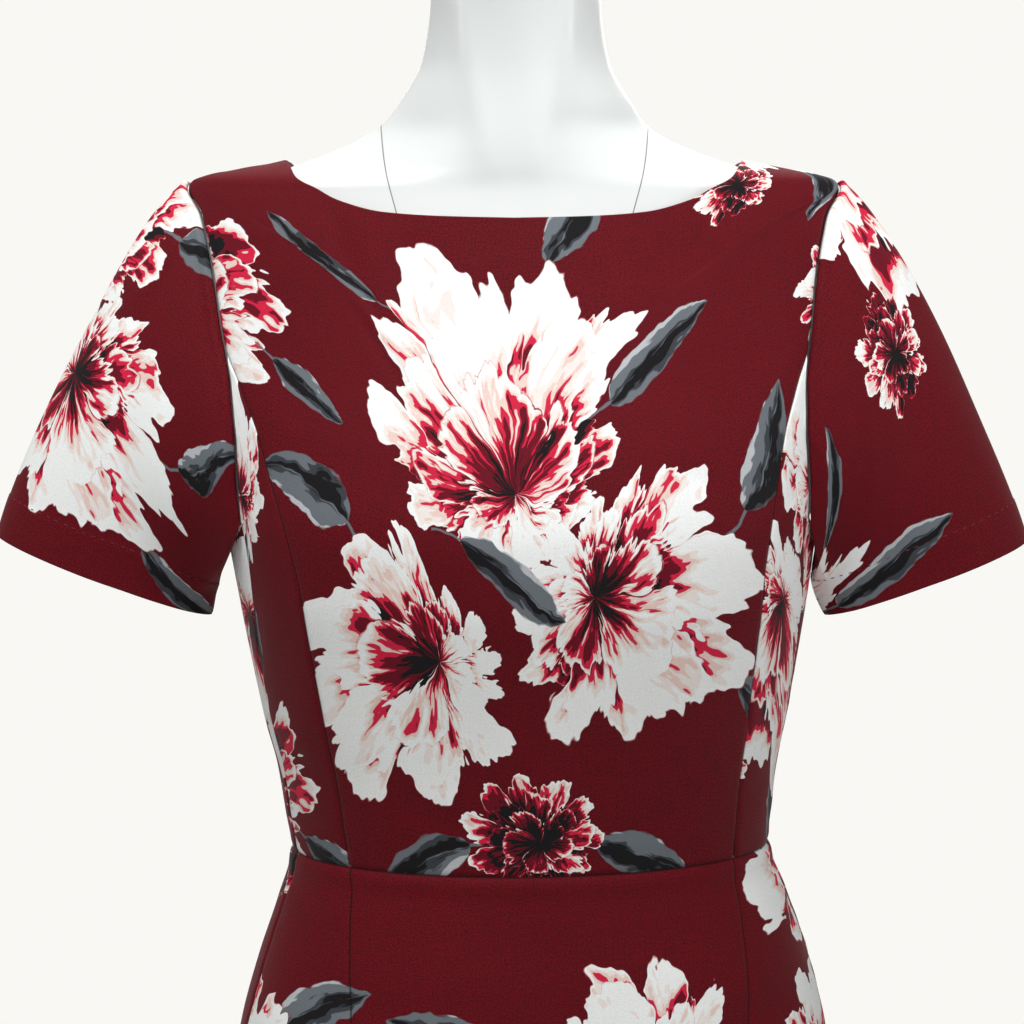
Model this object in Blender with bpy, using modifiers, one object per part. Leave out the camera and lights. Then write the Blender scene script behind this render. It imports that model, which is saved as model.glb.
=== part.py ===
"""A knee-length sheath dress on a limbless dress form that stands on a pole and a round base.

Metres, +Z up. The wearer faces -Y, so the wearer's left is +X. The origin lies on the floor, under the
middle of the whole. The cloth is a thin wall that follows the form at a small ease, cut into the panels
that are sewn together, and each seam is a narrow gap between two panels.
"""

import math
from bisect import bisect_right
from collections import namedtuple
from itertools import accumulate, pairwise

import bmesh
import bpy
from mathutils import Matrix, Vector

# Cloth
WALL = 0.0015
SEAM = 0.0003
SLEEVE_SEAM = 0.00035

# Heights of the garment's seams and edges above the floor
WAIST = 1.053
HEM = 0.462
UNDERARM = 1.2445
SHOULDER_POINT = 1.4297
NECK_POINT = 1.4420

# Form and stand
FORM_BOTTOM = 0.815
FORM_TOP = 1.590
FORM_EDGE = 0.008
FORM_SEGMENTS = 40
FORM_BODY_RINGS = 25
FORM_NECK_RINGS = 14
NECK_CAP_HEIGHT = 0.016
NECK_CAP_OVERHANG = 0.0015
STAND_X = 0.011
BASE_RADIUS = 0.170
BASE_HEIGHT = 0.010
BASE_EDGE = 0.002
POLE_RADIUS = 0.0125
FLANGE_RADIUS = 0.055
FLANGE_HEIGHT = 0.012
TOUCH = 0.0003

# Numbers of wall cells along each seam
PRINCESS_ROWS = 10
ARMHOLE_UPPER_ROWS = 9
ARMHOLE_LOWER_ROWS = 6
ARMHOLE_BACK_ROWS = 15
SHOULDER_CROWD = 1.12
SHOULDER_ROWS = 4
NECK_FRONT_COLUMNS = 8
NECK_BACK_COLUMNS = 10
SKIRT_ROWS = 14
SKIRT_FRONT_COLUMNS = 18
SKIRT_BACK_COLUMNS = 8
SLEEVE_ROWS = 9

# Sleeve hems on the wearer's right (-1) and left (1), ovals whose long side falls from the outer arm
SleeveHem = namedtuple("SleeveHem", "out forward height half_width half_depth slope")
SLEEVE_HEMS = {
    -1: SleeveHem(0.2320, 0.006, 1.2085, 0.0648, 0.0370, math.radians(20.5)),
    1: SleeveHem(0.2358, 0.006, 1.2070, 0.0612, 0.0370, math.radians(20.5)),
}

# Zip: a closed tape behind the centre back seam, its slider and the slider's pull tab
TAPE_HALF_WIDTH = 0.012
TAPE_THICKNESS = 0.0009
ZIP_TOP = 1.3960
ZIP_BOTTOM = 0.880
SLIDER_SIZE = (0.0056, 0.0026, 0.0110)
SLIDER_TAPER = 0.70
CROWN_WIDTH = 0.0016
CROWN_BAR = 0.0008
CROWN_OPENING = (0.0020, 0.0044)
TAB_THICKNESS = 0.0010
TAB_LENGTH = 0.0220
TAB_TOP_WIDTH = 0.0046
TAB_END_WIDTH = 0.0066
TAB_EYE = (0.0028, 0.0040)
TAB_BAR = 0.0010

# Sections of the form's skin from the garment's hem level to the top of the neck. Below the form's own
# bottom they carry on as the line that the skirt hangs in. front and back are depths from the side line,
# roundness is the section's exponent at the centre (2 is an ellipse), ridge the same at the side and along
# the shoulder, shift and turn (degrees) follow the stance,
# ease is the room that the cloth leaves, and dip is how much further in the form lies there.
Section = namedtuple("Section", "height half_width front back roundness ridge shift turn ease dip")
SECTIONS = (
    Section(0.450, 0.1675, 0.1035, 0.1075, 2.20, 2.20, 0.0110, 6.0, 0.0030, 0.0008),
    Section(0.620, 0.1720, 0.1070, 0.1120, 2.20, 2.20, 0.0110, 6.0, 0.0030, 0.0008),
    Section(0.760, 0.1755, 0.1100, 0.1160, 2.20, 2.20, 0.0115, 6.0, 0.0030, 0.0008),
    Section(0.860, 0.1760, 0.1120, 0.1190, 2.20, 2.20, 0.0120, 6.0, 0.0030, 0.0008),
    Section(0.944, 0.1655, 0.1100, 0.1140, 2.20, 2.20, 0.0125, 6.0, 0.0030, 0.0008),
    Section(0.988, 0.1543, 0.1050, 0.1040, 2.15, 2.15, 0.0128, 6.0, 0.0030, 0.0008),
    Section(1.021, 0.1433, 0.0990, 0.0950, 2.10, 2.10, 0.0122, 6.0, 0.0030, 0.0008),
    Section(1.053, 0.1333, 0.0950, 0.0880, 2.05, 2.05, 0.0108, 6.0, 0.0030, 0.0008),
    Section(1.073, 0.1357, 0.0975, 0.0870, 2.05, 2.05, 0.0099, 5.8, 0.0030, 0.0008),
    Section(1.103, 0.1396, 0.1025, 0.0875, 2.10, 2.10, 0.0090, 5.4, 0.0030, 0.0008),
    Section(1.126, 0.1450, 0.1075, 0.0890, 2.15, 2.15, 0.0081, 5.0, 0.0030, 0.0008),
    Section(1.153, 0.1500, 0.1145, 0.0915, 2.20, 2.20, 0.0072, 4.5, 0.0030, 0.0008),
    Section(1.175, 0.1540, 0.1210, 0.0940, 2.25, 2.25, 0.0067, 4.0, 0.0028, 0.0008),
    Section(1.205, 0.1590, 0.1290, 0.0970, 2.30, 2.30, 0.0062, 3.4, 0.0026, 0.0012),
    Section(1.235, 0.1640, 0.1315, 0.1000, 2.30, 2.30, 0.0054, 2.7, 0.0024, 0.0016),
    Section(1.280, 0.1750, 0.1210, 0.1030, 2.15, 2.15, 0.0042, 1.6, 0.0022, 0.0016),
    Section(1.320, 0.1860, 0.1060, 0.1030, 1.95, 1.95, 0.0030, 0.8, 0.0022, 0.0014),
    Section(1.360, 0.1900, 0.0920, 0.0990, 1.82, 1.75, 0.0020, 0.2, 0.0022, 0.0012),
    Section(1.400, 0.1890, 0.0780, 0.0900, 1.76, 1.55, 0.0012, 0.0, 0.0021, 0.0020),
    Section(1.420, 0.1860, 0.0720, 0.0840, 1.74, 1.40, 0.0010, 0.0, 0.0012, 0.0036),
    Section(1.430, 0.1810, 0.0690, 0.0800, 1.74, 1.33, 0.0010, 0.0, 0.0008, 0.0040),
    Section(1.442, 0.1280, 0.0660, 0.0760, 1.76, 1.33, 0.0015, 0.0, 0.0008, 0.0028),
    Section(1.462, 0.0770, 0.0600, 0.0700, 1.82, 1.50, 0.0010, 0.0, 0.0008, 0.0006),
    Section(1.477, 0.0645, 0.0560, 0.0640, 1.92, 1.80, 0.0020, 0.0, 0.0008, 0.0000),
    Section(1.500, 0.0523, 0.0520, 0.0580, 2.00, 2.00, 0.0020, 0.0, 0.0008, 0.0000),
    Section(1.533, 0.0477, 0.0500, 0.0540, 2.00, 2.00, 0.0020, 0.0, 0.0008, 0.0000),
    Section(1.600, 0.0460, 0.0500, 0.0520, 2.00, 2.00, 0.0020, 0.0, 0.0008, 0.0000),
)

# Seams that climb the bodice: the angle round the form, in degrees from the front centre, at each height
Climb = namedtuple("Climb", "height angle")
PRINCESS_SEAM = (
    Climb(1.053, 52.2),
    Climb(1.090, 51.8),
    Climb(1.138, 50.2),
    Climb(1.187, 49.0),
    Climb(1.212, 48.6),
    Climb(1.249, 49.8),
    Climb(1.272, 51.1),
    Climb(1.296, 52.2),
    Climb(1.317, 54.6),
    Climb(1.338, 58.5),
)
SIDE_SEAM = (
    Climb(0.450, 84.0),
    Climb(0.860, 83.0),
    Climb(1.053, 80.5),
    Climb(1.110, 78.5),
    Climb(1.159, 75.0),
    Climb(1.180, 72.4),
    Climb(1.204, 69.8),
    Climb(1.222, 67.8),
    Climb(1.2445, 66.4),
)

# Edges that run round the form, as spots in the order in which they are cut
Spot = namedtuple("Spot", "angle height")
NECK_FRONT = (
    Spot(0.0, 1.4122),
    Spot(15.4, 1.4130),
    Spot(26.1, 1.4150),
    Spot(36.0, 1.4215),
    Spot(44.4, 1.4300),
    Spot(58.8, 1.4368),
    Spot(74.8, 1.4405),
    Spot(90.0, NECK_POINT),
)
NECK_BACK = (
    Spot(90.0, NECK_POINT),
    Spot(105.2, 1.4405),
    Spot(121.2, 1.4365),
    Spot(135.2, 1.4290),
    Spot(147.0, 1.4195),
    Spot(158.4, 1.4115),
    Spot(170.2, 1.4065),
    Spot(180.0, 1.4050),
)
ARMHOLE_UPPER = (
    Spot(58.5, 1.338),
    Spot(60.6, 1.359),
    Spot(63.5, 1.382),
    Spot(67.5, 1.403),
    Spot(71.5, 1.414),
    Spot(79.2, 1.423),
    Spot(90.0, SHOULDER_POINT),
)
ARMHOLE_LOWER = (
    Spot(58.5, 1.338),
    Spot(57.7, 1.320),
    Spot(58.8, 1.299),
    Spot(61.5, 1.279),
    Spot(64.4, 1.260),
    Spot(66.4, UNDERARM),
)
ARMHOLE_BACK = (
    Spot(66.4, UNDERARM),
    Spot(72.5, 1.2365),
    Spot(81.0, 1.2335),
    Spot(90.0, 1.2345),
    Spot(98.5, 1.2430),
    Spot(106.0, 1.258),
    Spot(112.0, 1.279),
    Spot(116.0, 1.302),
    Spot(118.5, 1.326),
    Spot(118.5, 1.350),
    Spot(116.5, 1.375),
    Spot(112.0, 1.398),
    Spot(104.5, 1.416),
    Spot(90.0, SHOULDER_POINT),
)

# How each sleeve's length leaves the armhole and reaches the hem, from the shoulder (drop 0) to the
# underarm (drop 1). Angles are in degrees below level, pulls are in metres.
Flow = namedtuple("Flow", "drop leave_angle leave_pull arrive_angle arrive_pull")
SLEEVE_FLOWS = {
    -1: (
        Flow(0.00, 0.0, 0.070, 75.0, 0.150),
        Flow(0.25, 12.0, 0.095, 71.0, 0.140),
        Flow(0.50, 32.0, 0.100, 69.0, 0.120),
        Flow(0.75, 62.0, 0.080, 74.0, 0.080),
        Flow(1.00, 80.0, 0.048, 80.0, 0.048),
    ),
    1: (
        Flow(0.00, 0.0, 0.070, 75.0, 0.150),
        Flow(0.25, 12.0, 0.095, 71.0, 0.140),
        Flow(0.50, 34.0, 0.100, 69.0, 0.120),
        Flow(0.75, 66.0, 0.085, 67.0, 0.085),
        Flow(1.00, 94.0, 0.045, 58.0, 0.072),
    ),
}
SLEEVE_FORWARD = 0.30

# name, colour, roughness, metallic
Finish = namedtuple("Finish", "colour roughness metallic")
CREPE = Finish((0.105, 0.008, 0.016), 0.80, 0.0)
TAPE = Finish((0.060, 0.006, 0.012), 0.85, 0.0)
GLOSS_WHITE = Finish((0.86, 0.87, 0.88), 0.18, 0.0)
STEEL = Finish((0.72, 0.72, 0.74), 0.25, 1.0)
ENAMEL = Finish((0.075, 0.010, 0.018), 0.35, 0.6)


def smooth_column(rows, key, value):
    """A function of the key column that runs smoothly through the value column and never overshoots it."""
    knots = [getattr(row, key) for row in rows]
    values = [getattr(row, value) for row in rows]
    steps = [high - low for low, high in pairwise(knots)]
    rises = [(high - low) / step for (low, high), step in zip(pairwise(values), steps)]
    slopes = [rises[0]]
    for (before, after), (low, high) in zip(pairwise(rises), pairwise(steps)):
        if before * after <= 0.0:
            slopes.append(0.0)
        else:
            near = 2.0 * high + low
            far = high + 2.0 * low
            slopes.append((near + far) / (near / before + far / after))
    slopes.append(rises[-1])

    def at(place):
        held = min(max(place, knots[0]), knots[-1])
        index = min(bisect_right(knots, held) - 1, len(steps) - 1)
        step = steps[index]
        t = (held - knots[index]) / step
        start = (1.0 + 2.0 * t) * (1.0 - t) ** 2 * values[index]
        end = t * t * (3.0 - 2.0 * t) * values[index + 1]
        leave = t * (1.0 - t) ** 2 * step * slopes[index]
        arrive = t * t * (t - 1.0) * step * slopes[index + 1]
        return start + end + leave + arrive

    return at


FIGURE = {name: smooth_column(SECTIONS, "height", name) for name in Section._fields[1:]}
FLOWS = {
    side: {name: smooth_column(rows, "drop", name) for name in Flow._fields[1:]}
    for side, rows in SLEEVE_FLOWS.items()
}
princess_angle = smooth_column(PRINCESS_SEAM, "height", "angle")
side_angle = smooth_column(SIDE_SEAM, "height", "angle")


def rounded_power(value, exponent, soft=0.12):
    """Near the power of a number's size, with its sign, but straight through zero."""
    grow = (exponent - 1.0) / 2.0
    return value * ((value * value + soft * soft) / (1.0 + soft * soft)) ** grow


def skin_point(spot, shrink=0.0):
    """The form's skin at a spot, drawn in level towards the middle by shrink."""
    size = {name: column(spot.height) for name, column in FIGURE.items()}
    angle = math.radians(spot.angle)
    sideways = math.sin(angle) ** 2
    exponent = 2.0 / size["roundness"] * (1.0 - sideways) + 2.0 / size["ridge"] * sideways
    across = (size["half_width"] - shrink) * rounded_power(math.sin(angle), exponent)
    depth = size["front"] if math.cos(angle) > 0.0 else size["back"]
    along = -(depth - shrink) * rounded_power(math.cos(angle), exponent)
    turn = math.radians(size["turn"])
    x = across * math.cos(turn) - along * math.sin(turn) + size["shift"]
    y = across * math.sin(turn) + along * math.cos(turn)
    return Vector((x, y, spot.height))


def skin_normal(spot, turn_step=1.1, height_step=0.0015):
    """The direction straight out of the skin at a spot."""
    after = skin_point(Spot(spot.angle + turn_step, spot.height))
    before = skin_point(Spot(spot.angle - turn_step, spot.height))
    above = skin_point(Spot(spot.angle, spot.height + height_step))
    below = skin_point(Spot(spot.angle, spot.height - height_step))
    return (after - before).cross(above - below).normalized()


def cloth_point(spot, lift):
    """The cloth's inner face at a spot, moved out by lift."""
    return skin_point(spot) + skin_normal(spot) * (FIGURE["ease"](spot.height) + lift)


def form_point(spot, shrink=0.0):
    """The form's own surface at a spot."""
    return skin_point(spot, shrink) - skin_normal(spot) * FIGURE["dip"](spot.height)


def mix(first, second, share):
    """The spot that lies a share of the way from the first to the second."""
    return Spot(
        first.angle + (second.angle - first.angle) * share,
        first.height + (second.height - first.height) * share,
    )


def evenly(path, steps, fine=48, crowd=1.0):
    """Spots along a path, a function of a share from 0 to 1, at even lengths or crowded towards its end."""
    spots = [path(index / fine) for index in range(fine + 1)]
    places = [cloth_point(spot, WALL) for spot in spots]
    run = list(accumulate(((b - a).length for a, b in pairwise(places)), initial=0.0))
    result = [spots[0]]
    for step in range(1, steps):
        target = run[-1] * (1.0 - (1.0 - step / steps) ** crowd)
        index = bisect_right(run, target) - 1
        share = (target - run[index]) / (run[index + 1] - run[index])
        result.append(mix(spots[index], spots[index + 1], share))
    return [*result, spots[-1]]


def edge_path(rows):
    """A smooth path through an edge's own spots."""
    numbered = [(index, row) for index, row in enumerate(rows)]
    stop = namedtuple("Stop", "place angle height")
    stops = [stop(index, row.angle, row.height) for index, row in numbered]
    angle = smooth_column(stops, "place", "angle")
    height = smooth_column(stops, "place", "height")
    last = len(rows) - 1
    return lambda share: Spot(angle(share * last), height(share * last))


def climb_path(angle_at, low, high):
    """A path up a seam from one height to another."""

    def path(share):
        height = low + (high - low) * share
        return Spot(angle_at(height), height)

    return path


def level_path(height, first, last):
    """A path round the form at one height, from one angle to another."""
    return lambda share: Spot(first + (last - first) * share, height)


def shoulder_path(share):
    """The shoulder seam, from the shoulder point to the neck point."""
    return Spot(90.0, SHOULDER_POINT + (NECK_POINT - SHOULDER_POINT) * share)


def other_side(spots):
    """The same spots on the wearer's right."""
    return [Spot(-spot.angle, spot.height) for spot in spots]


def join(*runs):
    """One run of spots from several that meet end to end."""
    joined = list(runs[0])
    for run in runs[1:]:
        joined += run[1:]
    return joined


def patch(left, right, bottom, top):
    """Rows of spots that fill the patch between four edges. left and right climb, bottom and top run across."""
    rows = len(left) - 1
    columns = len(bottom) - 1
    grid = []
    for i in range(rows + 1):
        v = i / rows
        row = []
        for j in range(columns + 1):
            u = j / columns
            sides = mix(left[i], right[i], u)
            ends = mix(bottom[j], top[j], v)
            corners = mix(mix(bottom[0], bottom[-1], u), mix(top[0], top[-1], u), v)
            angle = sides.angle + ends.angle - corners.angle
            row.append(Spot(angle, sides.height + ends.height - corners.height))
        grid.append(row)
    return grid


def draw_in(outer, inner, gap):
    """Moves the four edges of a wall's two faces in by half a seam's gap, along the cloth."""
    rows = len(outer)
    columns = len(outer[0])
    moves = [[Vector() for _ in range(columns)] for _ in range(rows)]
    for i in range(rows):
        for j in (0, columns - 1):
            along = outer[min(i + 1, rows - 1)][j] - outer[max(i - 1, 0)][j]
            out = outer[i][j] - inner[i][j]
            inward = out.cross(along) if j else along.cross(out)
            moves[i][j] += inward.normalized() * (gap / 2.0)
    for j in range(columns):
        for i in (0, rows - 1):
            along = outer[i][min(j + 1, columns - 1)] - outer[i][max(j - 1, 0)]
            out = outer[i][j] - inner[i][j]
            inward = along.cross(out) if i else out.cross(along)
            moves[i][j] += inward.normalized() * (gap / 2.0)
    for face in (outer, inner):
        for row, row_moves in zip(face, moves):
            row[:] = [point + move for point, move in zip(row, row_moves)]


def add_object(name, mesh, finish):
    """Puts a mesh in the dress's collection as a named object with a material of its own."""
    material = bpy.data.materials.new(name)
    material.use_nodes = True
    shader = material.node_tree.nodes["Principled BSDF"]
    shader.inputs["Base Color"].default_value = (*finish.colour, 1.0)
    shader.inputs["Roughness"].default_value = finish.roughness
    shader.inputs["Metallic"].default_value = finish.metallic
    material.diffuse_color = (*finish.colour, 1.0)
    mesh.materials.clear()
    mesh.materials.append(material)
    mesh.shade_smooth()
    mesh.set_sharp_from_angle(angle=math.radians(40.0))
    thing = bpy.data.objects.new(name, mesh)
    bpy.data.collections["sheath_dress"].objects.link(thing)
    return thing


def mesh_from(shape, name):
    """A mesh from a finished shape, with its faces pointing out."""
    bmesh.ops.recalc_face_normals(shape, faces=shape.faces)
    mesh = bpy.data.meshes.new(name)
    shape.to_mesh(mesh)
    shape.free()
    return mesh


def wall(name, outer, inner, finish, tube=False):
    """A closed wall between two grids of points. A tube's columns close on themselves."""
    shape = bmesh.new()
    faces = [[[shape.verts.new(point) for point in row] for row in grid] for grid in (outer, inner)]
    rows = len(outer)
    columns = len(outer[0])
    across = columns if tube else columns - 1
    for i in range(rows - 1):
        for j in range(across):
            k = (j + 1) % columns
            for grid in faces:
                shape.faces.new((grid[i][j], grid[i][k], grid[i + 1][k], grid[i + 1][j]))
    out, within = faces
    for j in range(across):
        k = (j + 1) % columns
        for i in (0, rows - 1):
            shape.faces.new((out[i][j], out[i][k], within[i][k], within[i][j]))
    if not tube:
        for i in range(rows - 1):
            for j in (0, columns - 1):
                shape.faces.new((out[i][j], out[i + 1][j], within[i + 1][j], within[i][j]))
    return add_object(name, mesh_from(shape, name), finish)


def panel(name, grid):
    """A panel of cloth over a grid of spots."""
    outer = [[cloth_point(spot, WALL) for spot in row] for row in grid]
    inner = [[cloth_point(spot, 0.0) for spot in row] for row in grid]
    draw_in(outer, inner, SEAM)
    return wall(name, outer, inner, CREPE)


def tape_angle(height):
    """The angle of the zip tape's edge at a height, in degrees."""
    probe = 4.0
    middle = cloth_point(Spot(180.0, height), 0.0)
    beside = cloth_point(Spot(180.0 - probe, height), 0.0)
    return 180.0 - probe * TAPE_HALF_WIDTH / (beside - middle).length


def with_tape_column(grid, back_column):
    """Moves the column beside the centre back seam to the zip tape's edge."""
    for row in grid:
        height = row[back_column].height
        row[back_column] = Spot(tape_angle(height), height)
    return grid


def bodice_seams():
    """The runs of spots that the bodice's panels share, all on the wearer's left."""
    junction = PRINCESS_SEAM[-1]
    return {
        "princess": evenly(climb_path(princess_angle, WAIST, junction.height), PRINCESS_ROWS),
        "side": evenly(climb_path(side_angle, WAIST, UNDERARM), PRINCESS_ROWS),
        "armhole_upper": evenly(edge_path(ARMHOLE_UPPER), ARMHOLE_UPPER_ROWS, crowd=SHOULDER_CROWD),
        "armhole_lower": evenly(edge_path(ARMHOLE_LOWER), ARMHOLE_LOWER_ROWS),
        "armhole_back": evenly(edge_path(ARMHOLE_BACK), ARMHOLE_BACK_ROWS, crowd=SHOULDER_CROWD),
        "shoulder": evenly(shoulder_path, SHOULDER_ROWS),
        "neck_front": evenly(edge_path(NECK_FRONT), NECK_FRONT_COLUMNS),
        "neck_back": evenly(edge_path(NECK_BACK), NECK_BACK_COLUMNS),
    }


def centre_line(angle, low, high, steps):
    """Spots at even heights up the centre front or the centre back."""
    return [Spot(angle, low + (high - low) * step / steps) for step in range(steps + 1)]


def build_bodice(seams):
    """The bodice: a front centre, two side fronts and two backs. Gives one back's spots."""
    outside = join(seams["princess"], seams["armhole_upper"], seams["shoulder"])
    top = seams["neck_front"]
    centre = centre_line(0.0, WAIST, top[0].height, len(outside) - 1)
    waist = evenly(level_path(WAIST, 0.0, outside[0].angle), len(top) - 1)
    half = patch(centre, outside, waist, top)
    panel("bodice_front", [[*other_side(row)[::-1], *row[1:]] for row in half])

    waist = evenly(level_path(WAIST, outside[0].angle, seams["side"][0].angle), ARMHOLE_LOWER_ROWS)
    side_front = patch(seams["princess"], seams["side"], waist, seams["armhole_lower"])
    panel("bodice_side_front_left", side_front)
    panel("bodice_side_front_right", [other_side(row)[::-1] for row in side_front])

    outside = join(seams["side"], seams["armhole_back"], seams["shoulder"])
    top = seams["neck_back"]
    centre = centre_line(180.0, WAIST, top[-1].height, len(outside) - 1)
    waist = evenly(level_path(WAIST, outside[0].angle, 180.0), len(top) - 1)
    back = with_tape_column(patch(outside, centre, waist, top), -2)
    panel("bodice_back_left", back)
    panel("bodice_back_right", [other_side(row)[::-1] for row in back])
    return back


def build_skirt():
    """The skirt: a front and two backs, which hang from the waist seam to the hem."""
    side = evenly(climb_path(side_angle, HEM, WAIST), SKIRT_ROWS)
    front = [evenly(level_path(spot.height, -spot.angle, spot.angle), SKIRT_FRONT_COLUMNS) for spot in side]
    panel("skirt_front", front)
    back = [evenly(level_path(spot.height, spot.angle, 180.0), SKIRT_BACK_COLUMNS) for spot in side]
    with_tape_column(back, -2)
    panel("skirt_back_left", back)
    panel("skirt_back_right", [other_side(row)[::-1] for row in back])
    return back


def hem_point(turn, side):
    """A point of the sleeve's hem. turn 0 is the outer arm, a quarter turn the front, half the inner arm."""
    hem = SLEEVE_HEMS[side]
    angle = 2.0 * math.pi * turn
    width = hem.half_width * math.cos(angle)
    x = side * (hem.out + width * math.cos(hem.slope))
    y = -hem.forward - hem.half_depth * math.sin(angle)
    return Vector((x, y, hem.height + width * math.sin(hem.slope)))


def sleeve_line(start, turn, side):
    """Points down the sleeve from the armhole to the hem, on a curve that leaves and arrives as it flows."""
    flow = FLOWS[side]
    drop = 1.0 - abs(1.0 - 2.0 * turn)
    forward = -SLEEVE_FORWARD * math.sin(2.0 * math.pi * turn)
    leave_angle = math.radians(flow["leave_angle"](drop))
    arrive_angle = math.radians(flow["arrive_angle"](drop))
    leave = Vector((side * math.cos(leave_angle), forward, -math.sin(leave_angle)))
    leave *= flow["leave_pull"](drop)
    arrive = Vector((side * math.cos(arrive_angle), 0.0, -math.sin(arrive_angle)))
    arrive *= flow["arrive_pull"](drop)
    end = hem_point(turn, side)
    line = []
    for row in range(SLEEVE_ROWS + 1):
        t = row / SLEEVE_ROWS
        point = start * ((1.0 + 2.0 * t) * (1.0 - t) ** 2) + end * (t * t * (3.0 - 2.0 * t))
        line.append(point + leave * (t * (1.0 - t) ** 2) + arrive * (t * t * (t - 1.0)))
    return line


def build_sleeve(name, seams, side):
    """A set-in short sleeve: a tube from the armhole seam to an oval hem."""
    ring = join(seams["armhole_upper"][::-1], seams["armhole_lower"], seams["armhole_back"])
    places = [cloth_point(spot, WALL) for spot in ring]
    run = list(accumulate(((b - a).length for a, b in pairwise(places)), initial=0.0))
    low = min(range(len(ring)), key=lambda index: ring[index].height)
    turns = [0.5 * length / run[low] for length in run[:low]]
    turns += [0.5 + 0.5 * (length - run[low]) / (run[-1] - run[low]) for length in run[low:-1]]
    ring = ring[:-1]
    if side < 0:
        ring = other_side(ring)
    shift = Vector((side * SLEEVE_SEAM, 0.0, 0.0))
    lines = [sleeve_line(cloth_point(spot, WALL) + shift, turn, side) for spot, turn in zip(ring, turns)]
    outer = [list(row) for row in zip(*lines)]
    inner = []
    for i, row in enumerate(outer):
        below = outer[min(i + 1, SLEEVE_ROWS)]
        above = outer[max(i - 1, 0)]
        count = len(row)
        normals = [
            side * (row[(j + 1) % count] - row[j - 1]).cross(below[j] - above[j]).normalized()
            for j in range(count)
        ]
        inner.append([point - normal * WALL for point, normal in zip(row, normals)])
    wall(name, outer, inner, CREPE, tube=True)


def loft(name, rings, finish):
    """A closed body through rings of points, with a flat face at each end."""
    shape = bmesh.new()
    loops = [[shape.verts.new(point) for point in ring] for ring in rings]
    for low, high in pairwise(loops):
        for j in range(len(low)):
            k = (j + 1) % len(low)
            shape.faces.new((low[j], low[k], high[k], high[j]))
    shape.faces.new(loops[0][::-1])
    shape.faces.new(loops[-1])
    return add_object(name, mesh_from(shape, name), finish)


def build_form():
    """The form: a smooth limbless torso with its neck."""
    body = climb_path(lambda height: 90.0, FORM_BOTTOM + FORM_EDGE, NECK_POINT)
    neck = climb_path(lambda height: 90.0, NECK_POINT, FORM_TOP)
    levels = join(evenly(body, FORM_BODY_RINGS, fine=300), evenly(neck, FORM_NECK_RINGS, fine=100))
    heights = [spot.height for spot in levels]
    angles = [360.0 * index / FORM_SEGMENTS - 180.0 for index in range(FORM_SEGMENTS)]
    rings = [[form_point(Spot(angle, height)) for angle in angles] for height in heights]
    lowered = Vector((0.0, 0.0, -FORM_EDGE))
    bottom = [skin_point(Spot(angle, heights[0]), FORM_EDGE) + lowered for angle in angles]
    half = Vector((0.0, 0.0, -0.3 * FORM_EDGE))
    middle = [skin_point(Spot(angle, heights[0]), 0.3 * FORM_EDGE) + half for angle in angles]
    loft("form_torso", [bottom, middle, *rings], GLOSS_WHITE)


def build_neck_cap():
    """A low domed cap on the neck."""
    angles = [360.0 * index / FORM_SEGMENTS - 180.0 for index in range(FORM_SEGMENTS)]
    level = Vector((0.0, 0.0, TOUCH))
    rings = [[skin_point(Spot(angle, FORM_TOP), -NECK_CAP_OVERHANG) + level for angle in angles]]
    for step in range(1, 6):
        lean = math.radians(15.0 * step)
        shrink = 0.045 * (1.0 - math.cos(lean)) - NECK_CAP_OVERHANG
        rise = Vector((0.0, 0.0, NECK_CAP_HEIGHT * math.sin(lean))) + level
        rings.append([skin_point(Spot(angle, FORM_TOP), shrink) + rise for angle in angles])
    loft("neck_cap", rings, STEEL)


def cylinder(name, radius, low, high, finish, edge=0.0, segments=48):
    """A round upright piece of the stand, with its edges bevelled."""
    shape = bmesh.new()
    middle = Matrix.Translation((STAND_X, 0.0, (low + high) / 2.0))
    bmesh.ops.create_cone(
        shape, cap_ends=True, segments=segments, radius1=radius, radius2=radius, depth=high - low, matrix=middle
    )
    thing = add_object(name, mesh_from(shape, name), finish)
    if edge:
        bevel = thing.modifiers.new("edge", "BEVEL")
        bevel.width = edge
        bevel.segments = 2
        bevel.limit_method = "ANGLE"
        bevel.angle_limit = math.radians(60.0)
    return thing


def build_stand():
    """The stand: a round base, a pole and the flange under the form."""
    flange_top = FORM_BOTTOM - TOUCH
    pole_top = flange_top - FLANGE_HEIGHT - TOUCH
    cylinder("base_plate", BASE_RADIUS, 0.0, BASE_HEIGHT, STEEL, BASE_EDGE)
    cylinder("pole", POLE_RADIUS, BASE_HEIGHT + TOUCH, pole_top, STEEL, segments=24)
    cylinder("pole_flange", FLANGE_RADIUS, flange_top - FLANGE_HEIGHT, flange_top, STEEL, 0.001, 32)


def build_zip_tape(bodice_back, skirt_back):
    """The closed zip: one strip behind the centre back seam, made from the panels' own spots."""
    column = [row[-1].height for row in skirt_back] + [row[-1].height for row in bodice_back[1:]]
    heights = [height for height in column if ZIP_BOTTOM < height < ZIP_TOP]
    heights = [ZIP_BOTTOM, *heights, ZIP_TOP]
    outer = []
    inner = []
    for height in heights:
        edge = tape_angle(height)
        spots = [Spot(edge, height), Spot(180.0, height), Spot(360.0 - edge, height)]
        outer.append([cloth_point(spot, -TOUCH) for spot in spots])
        inner.append([cloth_point(spot, -TOUCH - TAPE_THICKNESS) for spot in spots])
    wall("zip_tape", outer, inner, TAPE)


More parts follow.
